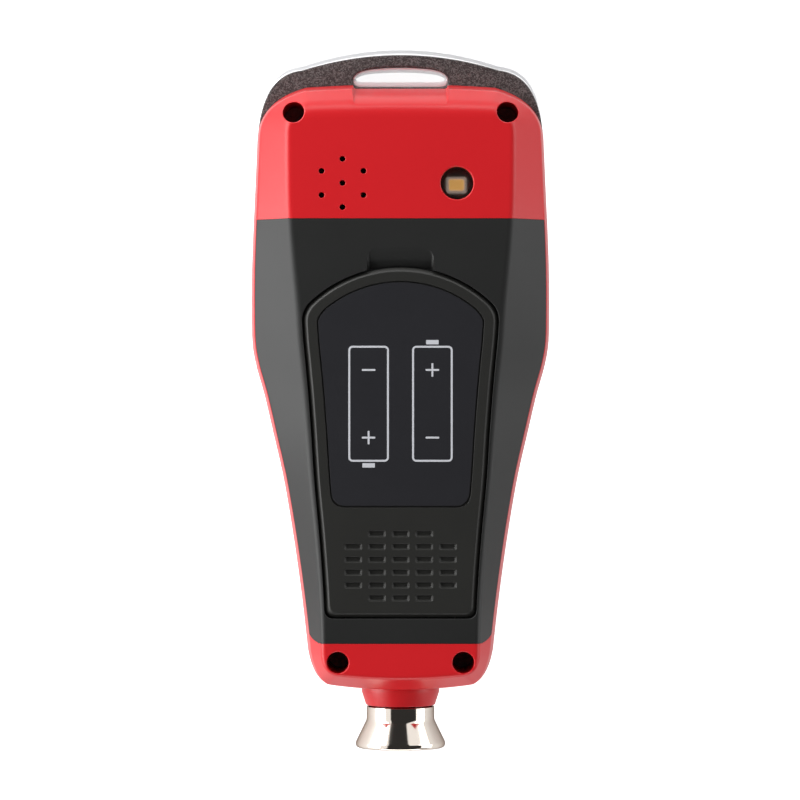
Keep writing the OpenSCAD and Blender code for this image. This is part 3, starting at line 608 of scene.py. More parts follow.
def case_shape():
    """Outlines and levels of the case in millimetres, from the sizes in the panel."""
    sizes = bpy.context.scene.gauge_sizes
    g = SimpleNamespace(**{name: mm(getattr(sizes, name)) for name in sizes.bl_rna.properties.keys()
                           if name not in ("rna_type", "name")})
    tail, hip = g.tail_w / 2, g.hip_w / 2
    height = SIDE_BOTTOM + (g.case_len - SIDE_TOP_GAP - SIDE_BOTTOM) * SIDE_SHAPE[:, 0]
    side = np.column_stack([tail + (hip - tail) * SIDE_SHAPE[:, 1], height])
    flat_x = (g.flat_tail_w + (g.flat_top_w - g.flat_tail_w) * SIDE_SHAPE[:, 2]) / 2
    flat_side = np.column_stack([flat_x, height])
    flat_tail, flat_top = g.flat_tail_w / 2, g.flat_top_w / 2

    def low(half_w, place):
        return half_w - place[0], place[1]

    def high(half_w, end, place):
        return half_w - place[0], end - place[1]

    def outline(top_y, bend, corner):
        return half_outline(0, low(tail, LOW_CORNER), low(tail, LOW_BEND), side,
                            high(hip, top_y, bend), high(hip, top_y, corner), top_y)

    g.case = outline(g.case_len, CASE_BEND, CASE_CORNER)
    g.lug = outline(g.case_len + LUG_RISE, LUG_BEND, LUG_CORNER)
    g.bezel = outline(g.case_len + BEZEL_RISE, BEZEL_BEND, BEZEL_CORNER)
    g.flat = half_outline(
        FLAT_LOW, low(flat_tail, FLAT_LOW_CORNER), low(flat_tail, FLAT_LOW_BEND), flat_side,
        high(flat_top, g.case_len, FLAT_BEND), high(flat_top, g.case_len, FLAT_CORNER),
        g.case_len - FLAT_TOP_GAP)
    g.crease = inset(g.case, SIDE_DRAFT, END_DRAFT - SIDE_DRAFT)
    g.flat_line = smooth(flat_side, 2 * FINE)
    g.skin = g.grip_t + WALL
    g.floor_z = g.case_t - g.grip_t
    g.roof_z = g.case_t - g.skin
    g.grip_top = g.case_len - GRIP_TOP_GAP
    g.door_top = g.grip_top - DOOR_TOP_GAP
    g.bay_mid = (g.door_top + DOOR_BOTTOM) / 2
    g.torch_y = g.case_len - TORCH_GAP
    g.window_y = g.case_len - WINDOW_GAP
    g.lanyard_low = g.case_len - LANYARD_BACK
    screw_top = (SCREW_TOP_X, g.case_len - SCREW_TOP_GAP)
    g.screws = [(s * x, y) for x, y in (screw_top, SCREW_LOW) for s in (1, -1)]
    post_top = high(hip, g.case_len - BOARD_TOP_GAP, POST_TOP)
    g.posts = [(s * x, y) for x, y in (post_top, low(tail, POST_LOW)) for s in (1, -1)]
    return g


def datum():
    """Place in the shared frame, in metres, of the case's own datum at its probe end."""
    case_len = bpy.context.scene.gauge_sizes.case_len
    return np.array([0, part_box("front_bezel")[1].y - case_len - BEZEL_RISE * MM, 0])


def volume(mesh):
    """Volume of a closed mesh: the sum of a . (b x c) / 6 over its triangles, negative if it faces in."""
    mesh.calc_loop_triangles()
    points = np.empty(len(mesh.vertices) * 3)
    mesh.vertices.foreach_get("co", points)
    corners = np.empty(len(mesh.loop_triangles) * 3, int)
    mesh.loop_triangles.foreach_get("vertices", corners)
    a, b, c = points.reshape(-1, 3)[corners.reshape(-1, 3)].transpose(1, 0, 2)
    return (a * np.cross(b, c)).sum() / 6


def solid(name, skin):
    """Mesh object of a skin, moved from the case's own datum into the shared frame and facing out."""
    points, faces = skin
    mesh = bpy.data.meshes.new(name)
    mesh.from_pydata(points * MM + datum(), [], faces)
    if volume(mesh) < 0:
        mesh.flip_normals()
    piece = bpy.data.objects.new(name, mesh)
    bpy.context.scene.collection.objects.link(piece)
    return piece


def keep_result(piece):
    """Puts what the modifiers make of a piece into its mesh and takes them off."""
    graph = bpy.context.evaluated_depsgraph_get()
    mesh = bpy.data.meshes.new_from_object(piece.evaluated_get(graph))
    before = piece.data
    piece.modifiers.clear()
    piece.data = mesh
    mesh.name = piece.name
    bpy.data.meshes.remove(before)


def combine(piece, operation, *skins):
    """Cuts skins out of a piece, or joins them to it, one after the other."""
    for skin in skins:
        tool = solid("tool", skin)
        step = piece.modifiers.new("combine", "BOOLEAN")
        step.operation = operation
        step.solver = "EXACT"
        step.object = tool
        keep_result(piece)
        mesh = tool.data
        bpy.data.objects.remove(tool)
        bpy.data.meshes.remove(mesh)


def hollow(skin, *left):
    """Skin of a form without the solids left standing in it, for use as a cutter."""
    form = solid("room", skin)
    combine(form, "DIFFERENCE", *left)
    points = np.empty(len(form.data.vertices) * 3)
    form.data.vertices.foreach_get("co", points)
    faces = [list(face.vertices) for face in form.data.polygons]
    mesh = form.data
    bpy.data.objects.remove(form)
    bpy.data.meshes.remove(mesh)
    return (points.reshape(-1, 3) - datum()) / MM, faces


def rim_cutter(piece, x, y, r, low, high, width):
    """Cutter for an upright hole with a rounded rim: straight up to width under the surface, then a quarter
    round that opens by width. The surface's height at each angle is found from above."""
    def surface(grow):
        ring = circle(x, y, r + grow, 0)
        starts = ring * MM + datum() + (0, 0, 1)
        ring[:, 2] = [piece.ray_cast(start, (0, 0, -1))[1].z / MM for start in starts]
        return ring
    rings = [circle(x, y, r, low)]
    for across, along in quarter(width, 4):
        ring = surface(across)
        ring[:, 2] += along - width + RIM_LIFT
        rings.append(ring)
    return loft(rings + [circle(x, y, r + width, high)])


def dress(piece, material, body, slot, *nodes, sharp=32.0):
    """Shades a piece evenly, gives it its material and hands it to the body that carries it."""
    mesh = piece.data
    mesh.materials.clear()
    mesh.materials.append(material)
    mesh.shade_smooth()
    mesh.set_sharp_from_angle(angle=math.radians(sharp))
    even = piece.modifiers.new("even", "WEIGHTED_NORMAL")
    even.keep_sharp = True
    keep_result(piece)
    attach(piece, body)
    if nodes:
        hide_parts(*nodes)


def new_group(name, inputs, outputs):
    """Empty shader group with named sockets, and its input and output nodes."""
    group = bpy.data.node_groups.new(name, "ShaderNodeTree")
    for title, kind, default in inputs:
        socket = group.interface.new_socket(title, in_out="INPUT", socket_type=kind)
        socket.default_value = default
    for title, kind in outputs:
        group.interface.new_socket(title, in_out="OUTPUT", socket_type=kind)
    return group, group.nodes.new("NodeGroupInput"), group.nodes.new("NodeGroupOutput")


def node(tree, kind, links=(), **settings):
    """New node with its settings, and its inputs linked or set by name or number."""
    made = tree.nodes.new(kind)
    for name, value in settings.items():
        setattr(made, name, value)
    for socket, value in dict(links).items():
        if isinstance(value, bpy.types.NodeSocket):
            tree.links.new(value, made.inputs[socket])
        else:
            made.inputs[socket].default_value = value
    return made


def calc(tree, operation, *values):
    """Result of a math node on sockets and numbers."""
    return node(tree, "ShaderNodeMath", dict(enumerate(values)), operation=operation).outputs[0]


def spread(tree, value, start, end, low=0.0, high=1.0, kind="LINEAR"):
    """Result of a map-range node: start becomes low, end becomes high."""
    return node(tree, "ShaderNodeMapRange", {
        "Value": value, "From Min": start, "From Max": end, "To Min": low, "To Max": high,
    }, interpolation_type=kind).outputs[0]


def grain_group():
    """Moulded grain: a fine noise with a coarser one under it, as a height from 0 to 1."""
    group, start, end = new_group(
        "moulded_grain", [("Scale", "NodeSocketFloat", 4000.0)], [("Height", "NodeSocketFloat")])
    place = node(group, "ShaderNodeTexCoord").outputs["Object"]
    fine = node(group, "ShaderNodeTexNoise", {
        "Vector": place, "Scale": start.outputs["Scale"], "Detail": 1.0, "Roughness": 0.5})
    wide = calc(group, "MULTIPLY", start.outputs["Scale"], 0.3)
    coarse = node(group, "ShaderNodeTexNoise", {
        "Vector": place, "Scale": wide, "Detail": 2.0, "Roughness": 0.6})
    both = calc(group, "ADD", fine.outputs[0], coarse.outputs[0])
    group.links.new(calc(group, "MULTIPLY", both, 0.5), end.inputs["Height"])
    return group


def drift_group():
    """Tone drift: slow noise that makes colour and roughness wander by Amount about their values."""
    group, start, end = new_group("tone_drift", [
        ("Color", "NodeSocketColor", (0.5, 0.5, 0.5, 1)), ("Roughness", "NodeSocketFloat", 0.5),
        ("Amount", "NodeSocketFloat", 0.05), ("Scale", "NodeSocketFloat", 90.0),
    ], [("Color", "NodeSocketColor"), ("Roughness", "NodeSocketFloat")])
    place = node(group, "ShaderNodeTexCoord").outputs["Object"]
    noise = node(group, "ShaderNodeTexNoise", {
        "Vector": place, "Scale": start.outputs["Scale"], "Detail": 4.0, "Roughness": 0.6})
    swing = calc(group, "SUBTRACT", noise.outputs[0], 0.5)
    share = calc(group, "MULTIPLY_ADD", swing, start.outputs["Amount"], 1.0)
    tint = node(group, "ShaderNodeVectorMath", {
        0: start.outputs["Color"], "Scale": share}, operation="SCALE")
    group.links.new(tint.outputs[0], end.inputs["Color"])
    group.links.new(calc(group, "MULTIPLY", start.outputs["Roughness"], share), end.inputs["Roughness"])
    return group


def fleck_group():
    """Metal fleck: cells whose random value passes 1 - Share take the fleck colour; Mask marks them."""
    group, start, end = new_group("metal_fleck", [
        ("Color", "NodeSocketColor", (0.05, 0.05, 0.05, 1)),
        ("Fleck", "NodeSocketColor", (0.4, 0.4, 0.4, 1)),
        ("Scale", "NodeSocketFloat", 4000.0), ("Share", "NodeSocketFloat", 0.1),
    ], [("Color", "NodeSocketColor"), ("Mask", "NodeSocketFloat")])
    place = node(group, "ShaderNodeTexCoord").outputs["Object"]
    cells = node(group, "ShaderNodeTexVoronoi", {"Vector": place, "Scale": start.outputs["Scale"]})
    value = node(group, "ShaderNodeSeparateColor", {"Color": cells.outputs["Color"]})
    mask = spread(group, value.outputs[0], calc(group, "SUBTRACT", 1.0, start.outputs["Share"]), 1.0)
    mixed = node(group, "ShaderNodeMix", {
        0: mask, 6: start.outputs["Color"], 7: start.outputs["Fleck"]}, data_type="RGBA")
    group.links.new(mixed.outputs[2], end.inputs["Color"])
    group.links.new(mask, end.inputs["Mask"])
    return group


def shared(maker):
    """The group that a maker builds, built once."""
    found = bpy.data.node_groups.get(maker.__name__)
    if found is None:
        found = maker()
        found.name = maker.__name__
    return found


def use(tree, maker, links):
    return node(tree, "ShaderNodeGroup", links, node_tree=shared(maker))


def new_material(name):
    material = bpy.data.materials.new(name)
    material.use_nodes = True
    tree = material.node_tree
    return material, tree, tree.nodes["Principled BSDF"]


def add_grain(tree, shader, scale, depth):
    """Bump from the moulded grain, depth in metres."""
    grain = use(tree, grain_group, {"Scale": scale})
    bump = node(tree, "ShaderNodeBump", {
        "Height": grain.outputs["Height"], "Strength": 1.0, "Distance": depth})
    tree.links.new(bump.outputs["Normal"], shader.inputs["Normal"])


def add_tone(tree, shader, tone, roughness, amount, scale):
    """Colour and roughness that drift by amount."""
    drift = use(tree, drift_group, {
        "Color": tone, "Roughness": roughness, "Amount": amount, "Scale": scale})
    tree.links.new(drift.outputs["Color"], shader.inputs["Base Color"])
    tree.links.new(drift.outputs["Roughness"], shader.inputs["Roughness"])


def finish(name, base, roughness, drift, drift_scale, grain=None, metallic=0.0, **fixed):
    """Material with a drifting tone and, where grain gives its scale and depth, a moulded grain."""
    found = bpy.data.materials.get(name)
    if found:
        return found
    material, tree, shader = new_material(name)
    add_tone(tree, shader, (*base, 1), roughness, drift, drift_scale)
    shader.inputs["Metallic"].default_value = metallic
    for socket, value in fixed.items():
        shader.inputs[socket.replace("_", " ")].default_value = value
    if grain:
        add_grain(tree, shader, *grain)
    return material


def flecked(name, base, fleck, roughness):
    """Charcoal moulding with light flecks."""
    material, tree, shader = new_material(name)
    spots = use(tree, fleck_group, {
        "Color": (*base, 1), "Fleck": (*fleck, 1), "Scale": 4300.0, "Share": 0.7})
    add_tone(tree, shader, spots.outputs["Color"], roughness, 0.2, 400.0)
    add_grain(tree, shader, 3000.0, 0.00002)
    return material


def colours():
    return bpy.context.scene.gauge_colours


def red_plastic():
    return finish("red_plastic_with_painted_shade_finish", colours().red, roughness=0.34, drift=0.06, drift_scale=60.0,
                  grain=(3500.0, 0.000004))


def dark_grip():
    return finish("dark_grip_finish", colours().grip, roughness=0.47, drift=0.12, drift_scale=70.0,
                  grain=(5000.0, 0.000006), Specular_IOR_Level=0.42)


def door_plastic():
    return finish("door_finish", colours().door, roughness=0.45, drift=0.12, drift_scale=70.0,
                  grain=(4500.0, 0.000012))


def label_film():
    return finish("label_finish", colours().label, roughness=0.42, drift=0.1, drift_scale=120.0,
                  grain=(6000.0, 0.000005))


def ink(name):
    return finish(name, colours().ink, roughness=0.6, drift=0.06, drift_scale=300.0)


def silver_paint():
    return finish("silver_finish", colours().silver, roughness=0.3, drift=0.06, drift_scale=120.0,
                  grain=(7000.0, 0.000002), metallic=0.25)


def nickel():
    return finish("nickel_finish", colours().nickel, roughness=0.08, drift=0.05, drift_scale=200.0,
                  metallic=1.0, Specular_Tint=(0.35, 0.3, 0.27, 1))


def steel():
    return finish("steel_finish", (0.55, 0.55, 0.56), roughness=0.3, drift=0.25, drift_scale=600.0,
                  grain=(3000.0, 0.000004), metallic=1.0)


def repaint(material, mask, tone):
    """Lays another colour over a material's own where mask is 1."""
    tree = material.node_tree
    base = tree.nodes["Principled BSDF"].inputs["Base Color"]
    both = node(tree, "ShaderNodeMix", {0: mask, 6: base.links[0].from_socket, 7: tone}, data_type="RGBA")
    tree.links.new(both.outputs[2], base)
    return material


def object_axes(tree):
    """X, Y and Z of the piece's own coordinates."""
    place = node(tree, "ShaderNodeTexCoord").outputs["Object"]
    return node(tree, "ShaderNodeSeparateXYZ", {0: place}).outputs


def grip_zone(g, edge):
    """Prism over the middle of the back, with its edges drawn in by edge."""
    low, high = GRIP_BOTTOM + edge, g.grip_top - edge
    start = (g.flat_tail_w / 2 - GRIP_SIDE, low)
    corner = (g.tail_w / 2 + GRIP_SIDE, low + GRIP_CORNER)
    half = np.vstack([
        [(0, low)],
        curve(start, (g.tail_w / 2 - GRIP_BEND, low), corner, 4 * ROUND_STEPS),
        [corner, (g.hip_w, corner[1]), (g.hip_w, high), (0, high)],
    ])
    return prism(half, g.crease_z + edge, g.case_t + OVERLAP)


def grip_seat(g):
    """Red surface under the grip, carried on by OVERLAP below the crease. It lies SEAT_IN times the grip's
    thickness inside the crease and inside the flat."""
    low, top = (inset(line, share * g.grip_t) for line, share in zip((g.crease, g.flat), SEAT_IN))
    lower = low - (top - low) * OVERLAP / (g.floor_z - g.crease_z)
    return loft([whole(lower, g.crease_z - OVERLAP), whole(top, g.floor_z)])


def back_form(g):
    """Outer form of the back: wall, crease, bevel and flat, with rounded edges between them."""
    seam = whole(inset(g.case, SEAM), g.part_z)
    foot = whole(g.case, g.part_z + SEAM)
    crease, flat = whole(g.crease, g.crease_z), whole(g.flat, g.case_t)
    out = whole(outward(g.flat), 0)
    out[:, 2] = 0
    facing = np.maximum(out[:, 1:2], 0) ** 2
    reach = g.back_round + (g.lug_round - g.back_round) * facing
    return loft(
        [seam, foot] + rounded_edge(foot, crease, flat, g.crease_round)
        + rounded_edge(crease, flat, flat - out, reach))


def door_half(g, d, low, corner=DOOR_CORNER):
    """Right half of the door's outline drawn in by d: tapering side, arched top and rounded corners."""
    def side_x(y):
        return np.interp(y, g.flat_line[:, 1], g.flat_line[:, 0]) - DOOR_MARGIN - d
    r, mid_y = DOOR_ARCH_R - d, g.door_top - DOOR_ARCH_R
    wide = side_x(g.door_top - DOOR_WIDE_GAP) + d
    shoulder = mid_y + math.sqrt(DOOR_ARCH_R ** 2 - wide ** 2)
    arch_x = side_x(shoulder) - DOOR_SHOULDER[0]
    side_end = shoulder - DOOR_SHOULDER[1]
    y = np.linspace(low + corner, side_end, DOOR_STEPS)[:-1]
    a = math.asin(arch_x / r) * np.linspace(1, 0, DOOR_STEPS)
    low_end = (side_x(low + corner), low + corner)
    side_top, bend = (side_x(side_end), side_end), (side_x(shoulder), shoulder - d / 2)
    arch_end = (arch_x, mid_y + math.sqrt(r * r - arch_x ** 2))
    return np.vstack([
        [(0, low)],
        curve((side_x(low) - corner, low), (side_x(low), low), low_end, 2 * ROUND_STEPS),
        np.column_stack([side_x(y), y]),
        curve(side_top, bend, arch_end, 4 * FINE),
        np.column_stack([r * np.sin(a), mid_y + r * np.cos(a)]),
    ])


def lanyard_half(low, h, half_w):
    """Right half of the lanyard slot: flat lower edge, round ends and a bowed upper edge."""
    end = (half_w, low + LANYARD_END * h)
    bend = (half_w - LANYARD_BEND[0], low + LANYARD_BEND[1] * h)
    shoulder = (half_w - LANYARD_SHOULDER[0], low + LANYARD_SHOULDER[1] * h)
    return np.vstack([
        [(0, low)],
        curve((half_w - LANYARD_CORNER, low), (half_w, low), end, 2 * ROUND_STEPS),
        curve(end, bend, shoulder, 4 * FINE),
        curve(shoulder, (half_w / 2 - LANYARD_BOW, low + h), (0, low + h), 2 * ROUND_STEPS),
        [(0, low + h)],
    ])


def neck(trim=0.0):
    """Neck: a cone with a rounded lip, turned about the probe's axis; trim makes it slimmer and shorter."""
    r, back = NECK_R - trim, NECK_BACK - trim
    tip_r, lip_y = NECK_TIP_R - trim, NECK_ROUND - NECK_LEN
    lip = [(tip_r - across, lip_y - along) for across, along in quarter(NECK_ROUND)]
    return turned([(AXIS_R, back), (r, back), (r, 0)] + lip + [(AXIS_R, -NECK_LEN)], False)


def bore(r, y0, y1):
    """Straight cutter on the probe's axis."""
    return turned([(AXIS_R, y1), (r, y1), (r, y0), (AXIS_R, y0)], False)


def post(x, y, r, z0, z1):
    """Straight upright pin or cutter."""
    return spindle(x, y, [(r, z0), (r, z1)])


def scoop(g):
    """Scoop under the lanyard slot: a quadratic curve falls from the flat to the parting line;
    across the case its bend is drawn out again over SCOOP_SIDE, which gives the side walls."""
    share = np.array(SCOOP_SHARES)
    x = LANYARD_HALF_W + SCOOP_SIDE * (0.5 - np.linspace(0, 1, len(share)))
    top, end, floor = g.case_t + OVERLAP, g.case_len + 2 * OVERLAP, g.part_z - 2 * WALL_TRIM
    rings = []
    for at, depth in zip(np.concatenate([-x, x[::-1]]), np.concatenate([share, share[::-1]])):
        low = (g.case_len - SCOOP_LEN + SCOOP_CORNER * (1 - depth), g.case_t + RIM_LIFT)
        bend = (g.case_len - SCOOP_BEND[0] * depth, g.case_t - SCOOP_BEND[1] * depth)
        foot = (g.lanyard_low - SCOOP_FOOT[0] + SCOOP_FOOT[1] * (1 - depth), floor)
        fall = curve(low, bend, foot, 4 * ROUND_STEPS)
        line = np.vstack([fall, [foot, (end, floor), (end, top), (low[0], top)]])
        rings.append(np.column_stack([np.full(len(line), at), line]))
    return loft(rings)


class PartOperator:
    """What the operators of all the pieces share."""

    bl_options = {"REGISTER", "UNDO"}

    def execute(self, context):
        self.make(case_shape())
        return {"FINISHED"}


class GAUGE_OT_rear_shell(PartOperator, bpy.types.Operator):
    """Red rear shell with its seat for the grip, battery bay, screw holes, torch and sound holes"""

    bl_idname = "gauge.rear_shell"
    bl_label = "Rear shell"

    def make(self, g):
        piece = solid("rear_shell_form", back_form(g))
        combine(piece, "UNION", neck())
        room = loft([
            whole(inset(g.case, WALL), g.part_z - OVERLAP),
            whole(inset(g.crease, WALL), g.crease_z - ROOM_DROP * g.skin),
            whole(inset(g.flat, ROOM_IN * g.skin), g.roof_z)])
        bay = (-BAY_W / 2, BAY_W / 2, g.bay_mid - BAY_LEN / 2, g.bay_mid + BAY_LEN / 2)
        standing = (
            together(*(post(x, y, BOSS_R, 0, g.case_t) for x, y in g.screws)),
            block(bay[0] - BAY_WALL, bay[1] + BAY_WALL, bay[2] - BAY_WALL, bay[3] + BAY_WALL,
                  BAY_FLOOR - BAY_WALL, g.case_t),
            post(TORCH_X, g.torch_y, TORCH_LENS_R + TORCH_WALL, TORCH_BOARD_Z, g.case_t),
            post(BUZZER_X, g.torch_y, BUZZER_R + BUZZER_WALL, g.roof_z - BUZZER_T, g.case_t),
            neck(WALL_TRIM))
        combine(piece, "DIFFERENCE", hollow(grip_zone(g, 0), grip_seat(g)), hollow(room, *standing),
                block(*bay, BAY_FLOOR, g.case_t))
        combine(piece, "DIFFERENCE", self.door_pockets(g), scoop(g))
        screws = [rim_cutter(piece, x, y, SCREW_HOLE_R, SCREW_HEAD_Z, g.case_t + OVERLAP, g.rim_round)
                  for x, y in g.screws]
        shanks = [post(x, y, SCREW_SHANK_R, g.part_z - OVERLAP, SCREW_HEAD_Z + OVERLAP)
                  for x, y in g.screws]
        combine(piece, "DIFFERENCE", together(*screws), together(*shanks))
        combine(piece, "DIFFERENCE", *self.torch_cuts(g), *self.sound_cuts(g))
        combine(piece, "DIFFERENCE", bore(TAIL_R + TAIL_FIT, -NECK_LEN - OVERLAP, NECK_BACK + OVERLAP))
        dress(piece, self.finish(g), "case", "red_plastic", "rear_shell")

    def door_pockets(self, g):
        """Pockets in which the door's hooks turn, and the slot for its catch."""
        low, high = g.roof_z - OVERLAP, g.floor_z + CUT_OVER
        swing = HOOK.drop + HOOK.t + g.grip_t + HOOK.root + 2 * HOOK.room
        half_w = HOOK.w / 2 + HOOK.room
        hooks = [block(s * HOOK.x - half_w, s * HOOK.x + half_w, DOOR_BOTTOM - HOOK.out - HOOK.room,
                       DOOR_BOTTOM + swing, low, high) for s in (-1, 1)]
        catch_y = g.door_top - CATCH.back
        catch_w = CATCH.w / 2 + HOOK.room
        catch = block(-catch_w, catch_w, catch_y - CATCH.t - HOOK.room, catch_y + HOOK.room, low, high)
        return together(*hooks, catch)

    def torch_cuts(self, g):
        """Rounded torch hole and the wider bore behind it for the lens."""
        hole = flared(lambda grow, z: circle(TORCH_X, g.torch_y, TORCH_R + grow, z),
                      TORCH_LENS_Z - OVERLAP, g.case_t, g.rim_round)
        return hole, post(TORCH_X, g.torch_y, TORCH_LENS_R, TORCH_BOARD_Z - OVERLAP, TORCH_LENS_Z)

    def sound_cuts(self, g):
        """Six rounded sound holes round a seventh, and the seat of the buzzer behind them."""
        angles = np.radians(np.arange(30, 360, 60))
        spots = [(0, 0)] + [(SOUND_RING_R * math.cos(a), SOUND_RING_R * math.sin(a)) for a in angles]

        def hole(x, y):
            def ring(grow, z):
                return circle(BUZZER_X + x, g.torch_y + y, SOUND_HOLE_R + grow, z, CIRCLE_STEPS // 2)
            return flared(ring, g.roof_z - OVERLAP, g.case_t, g.rim_round / 2)

        seat = post(BUZZER_X, g.torch_y, BUZZER_R, g.roof_z - BUZZER_T - OVERLAP, g.roof_z)
        return together(*(hole(x, y) for x, y in spots)), seat

    def finish(self, g):
        """Red plastic with painted shade on the ledge under the door's edge: a band in the grip's colour
        stands for the shade in the deep gap round the door.
        """
        material = red_plastic()
        tree = material.node_tree
        axes = object_axes(tree)
        ledge_z = (g.floor_z - LEDGE_BELOW) * MM
        ledge_y = (g.grip_top + GRIP_BOTTOM) / 2 * MM + datum()[1]
        # Painted shade: the ledge band takes the grip's colour where the gap round the door lies in deep
        # shade.
        level = calc(tree, "COMPARE", axes[2], ledge_z, LEDGE_SHADE_BAND * MM)
        zone = calc(tree, "COMPARE", axes[1], ledge_y, (g.grip_top - GRIP_BOTTOM) / 2 * MM)
        return repaint(material, calc(tree, "MULTIPLY", level, zone), (*colours().grip, 1))


class GAUGE_OT_rear_grip(PartOperator, bpy.types.Operator):
    """Dark grip skin with the opening for the battery door and the finger notch"""

    bl_idname = "gauge.rear_grip"
    bl_label = "Rear grip"

    def make(self, g):
        piece = solid("rear_grip_skin", back_form(g))
        combine(piece, "INTERSECT", grip_zone(g, GRIP_HAIRLINE))
        opening = flared(
            lambda grow, z: whole(door_half(g, -g.door_gap - grow, DOOR_BOTTOM - g.door_gap - grow), z),
            g.crease_z, g.case_t, GRIP_RIM * g.rim_round)
        combine(piece, "DIFFERENCE", grip_seat(g), opening, self.notch(g))
        dress(piece, dark_grip(), "case", "dark_grip", "rear_grip")

    def notch(self, g):
        """Finger notch: along Y the floor falls with the power NOTCH_FALL of the way to the door; across
        it is level and turns up over NOTCH_ROUND at both sides; the upper corners are quarter circles."""
        way = np.append(np.linspace(0, 1, NOTCH_STEPS) ** NOTCH_SPREAD * NOTCH_LEN, NOTCH_LEN + NOTCH_PAST)
        a = np.linspace(0, math.pi / 2, ROUND_STEPS + 2)
        rings = []
        for s in way:
            room = max(NOTCH_CORNER - s, 0)
            half_w = NOTCH_W / 2 - NOTCH_CORNER + math.sqrt(NOTCH_CORNER ** 2 - room ** 2)
            depth = NOTCH_DEPTH * (s / NOTCH_LEN) ** NOTCH_FALL + HAIR
            side = np.column_stack([half_w - NOTCH_ROUND * (1 - np.sin(a)), -depth * np.cos(a)])
            top = [(half_w + HAIR / 10, OVERLAP), (-half_w - HAIR / 10, OVERLAP)]
            ring = np.vstack([side[::-1] * (-1, 1), side, top])
            y = np.full(len(ring), g.door_top + NOTCH_LEN - s)
            rings.append(np.column_stack([ring[:, 0], y, ring[:, 1] + g.case_t]))
        return loft(rings)


class GAUGE_OT_battery_door(PartOperator, bpy.types.Operator):
    """Battery door with rounded edges, sunk field, grip slots, hooks and catch, and its film"""

    bl_idname = "gauge.battery_door"
    bl_label = "Battery door"

    def make(self, g):
        edge = [(0, g.grip_t), *DOOR_EDGE]
        piece = solid("battery_door_cover", loft([
            whole(door_half(g, d, DOOR_BOTTOM + d), g.case_t - depth) for d, depth in edge]))
        hook_z, root = g.floor_z - HOOK.drop - HOOK.t, DOOR_BOTTOM + HOOK.root
        for s in (-1, 1):
            x0, x1 = s * HOOK.x - HOOK.w / 2, s * HOOK.x + HOOK.w / 2
            combine(
                piece, "UNION",
                block(x0, x1, DOOR_BOTTOM + g.door_gap, root, hook_z, g.floor_z + CUT_OVER),
                block(x0, x1, DOOR_BOTTOM - HOOK.out, root - HAIR, hook_z, hook_z + HOOK.t))
        catch_y = g.door_top - CATCH.back
        combine(piece, "UNION", block(-CATCH.w / 2, CATCH.w / 2, catch_y - CATCH.t, catch_y,
                                      g.floor_z - CATCH.drop, g.floor_z + CUT_OVER))
        field = flared(
            lambda grow, z: whole(door_half(g, LABEL_RIM - grow, LABEL_LOW - grow, LABEL_CORNER), z),
            g.case_t - LABEL_DEPTH, g.case_t, LABEL_ROUND)
        top, low = LABEL_DEPTH / 2, LABEL_GROOVE
        groove = loft([
            whole(door_half(g, LABEL_RIM + d, LABEL_LOW + d, LABEL_CORNER), g.case_t - depth)
            for d, depth in ((0, low), (0, top), (LABEL_FIT, top), (LABEL_FIT, low))], True)
        combine(piece, "DIFFERENCE", field, groove, self.grip_slots(g))
        dress(piece, door_plastic(), "door", "dark_plastic", "battery_door")
        film = solid("door_label_film", self.film(g))
        dress(film, label_film(), "door", "label_film", "battery_door_label")
        marks = solid("door_label_print", self.cell_marks(g))
        dress(marks, ink("label_print"), "door", "label_film")

    def grip_slots(self, g):
        """Rows of pockets: rounded rectangles that narrow towards the floor, with a rounded rim."""
        sizes = [(-SLOT_TAPER, -SLOT_DEPTH), (-SLOT_TAPER / 4, -SLOT_DEPTH / 2)]
        sizes += [(across, along - SLOT_RIM) for across, along in quarter(SLOT_RIM, ROUND_STEPS // 2)]
        sizes.append((SLOT_RIM, OVERLAP))
        spots = [(column * SLOT_PITCH[0], SLOT_FIRST + row * SLOT_PITCH[1])
                 for row, reach in enumerate(SLOT_ROWS) for column in range(-reach, reach + 1)]

        def pocket(x, y):
            return loft([
                rounded_rectangle(x, y, SLOT_W + 2 * grow, SLOT_H + 2 * grow, SLOT_CORNER, g.case_t + z,
                                  ROUND_STEPS // 2) for grow, z in sizes])

        return together(*(pocket(x, y) for x, y in spots))

    def film(self, g):
        """Film in the sunk field, with a fine chamfer."""
        low, high = g.case_t - LABEL_DEPTH, g.case_t - LABEL_DEPTH / 3
        edge = LABEL_FIT + LABEL_CHAMFER
        return loft([
            whole(door_half(g, LABEL_RIM + d, LABEL_LOW + d, LABEL_CORNER), z)
            for d, z in ((LABEL_FIT, low), (LABEL_FIT, high - LABEL_CHAMFER), (edge, high))])

    def cell_marks(self, g):
        """Printed marks: the outlines of two cells, one turned round, each with a plus and a minus."""
        face = g.case_t - LABEL_DEPTH / 3
        z0, z1 = face - PRINT_ROOT, face + PRINT_RISE
        cell, line, mid = CELL_MARK, CELL_MARK.line, g.bay_mid + CELL_MARK.up
        arm = (cell.sign - line) / 2

        def bar(x, y, w, h):
            return loft([rounded_rectangle(x, y, w, h, line / 4, z, ROUND_STEPS // 3) for z in (z0, z1)])

        def outline(x):
            rims = ((0, z0), (0, z1), (line, z1), (line, z0))
            return loft([rounded_rectangle(x, mid, cell.w - 2 * d, cell.h - 2 * d, cell.corner - d, z)
                         for d, z in rims], True)

        marks = []
        for up in (1, -1):
            x = up * (cell.w / 2 + cell.apart)
            plus, minus = mid + up * cell.sign_at, mid - up * cell.sign_at
            pole_w, pole_h, pole_up = cell.pole
            marks += [
                outline(x),
                bar(x, mid + up * (cell.h / 2 + pole_up), pole_w, pole_h),
                bar(x, plus, cell.sign, line),
                bar(x, plus + (arm + line) / 2, line, arm),
                bar(x, plus - (arm + line) / 2, line, arm),
                bar(x, minus, cell.sign, line),
            ]
        return together(*marks)


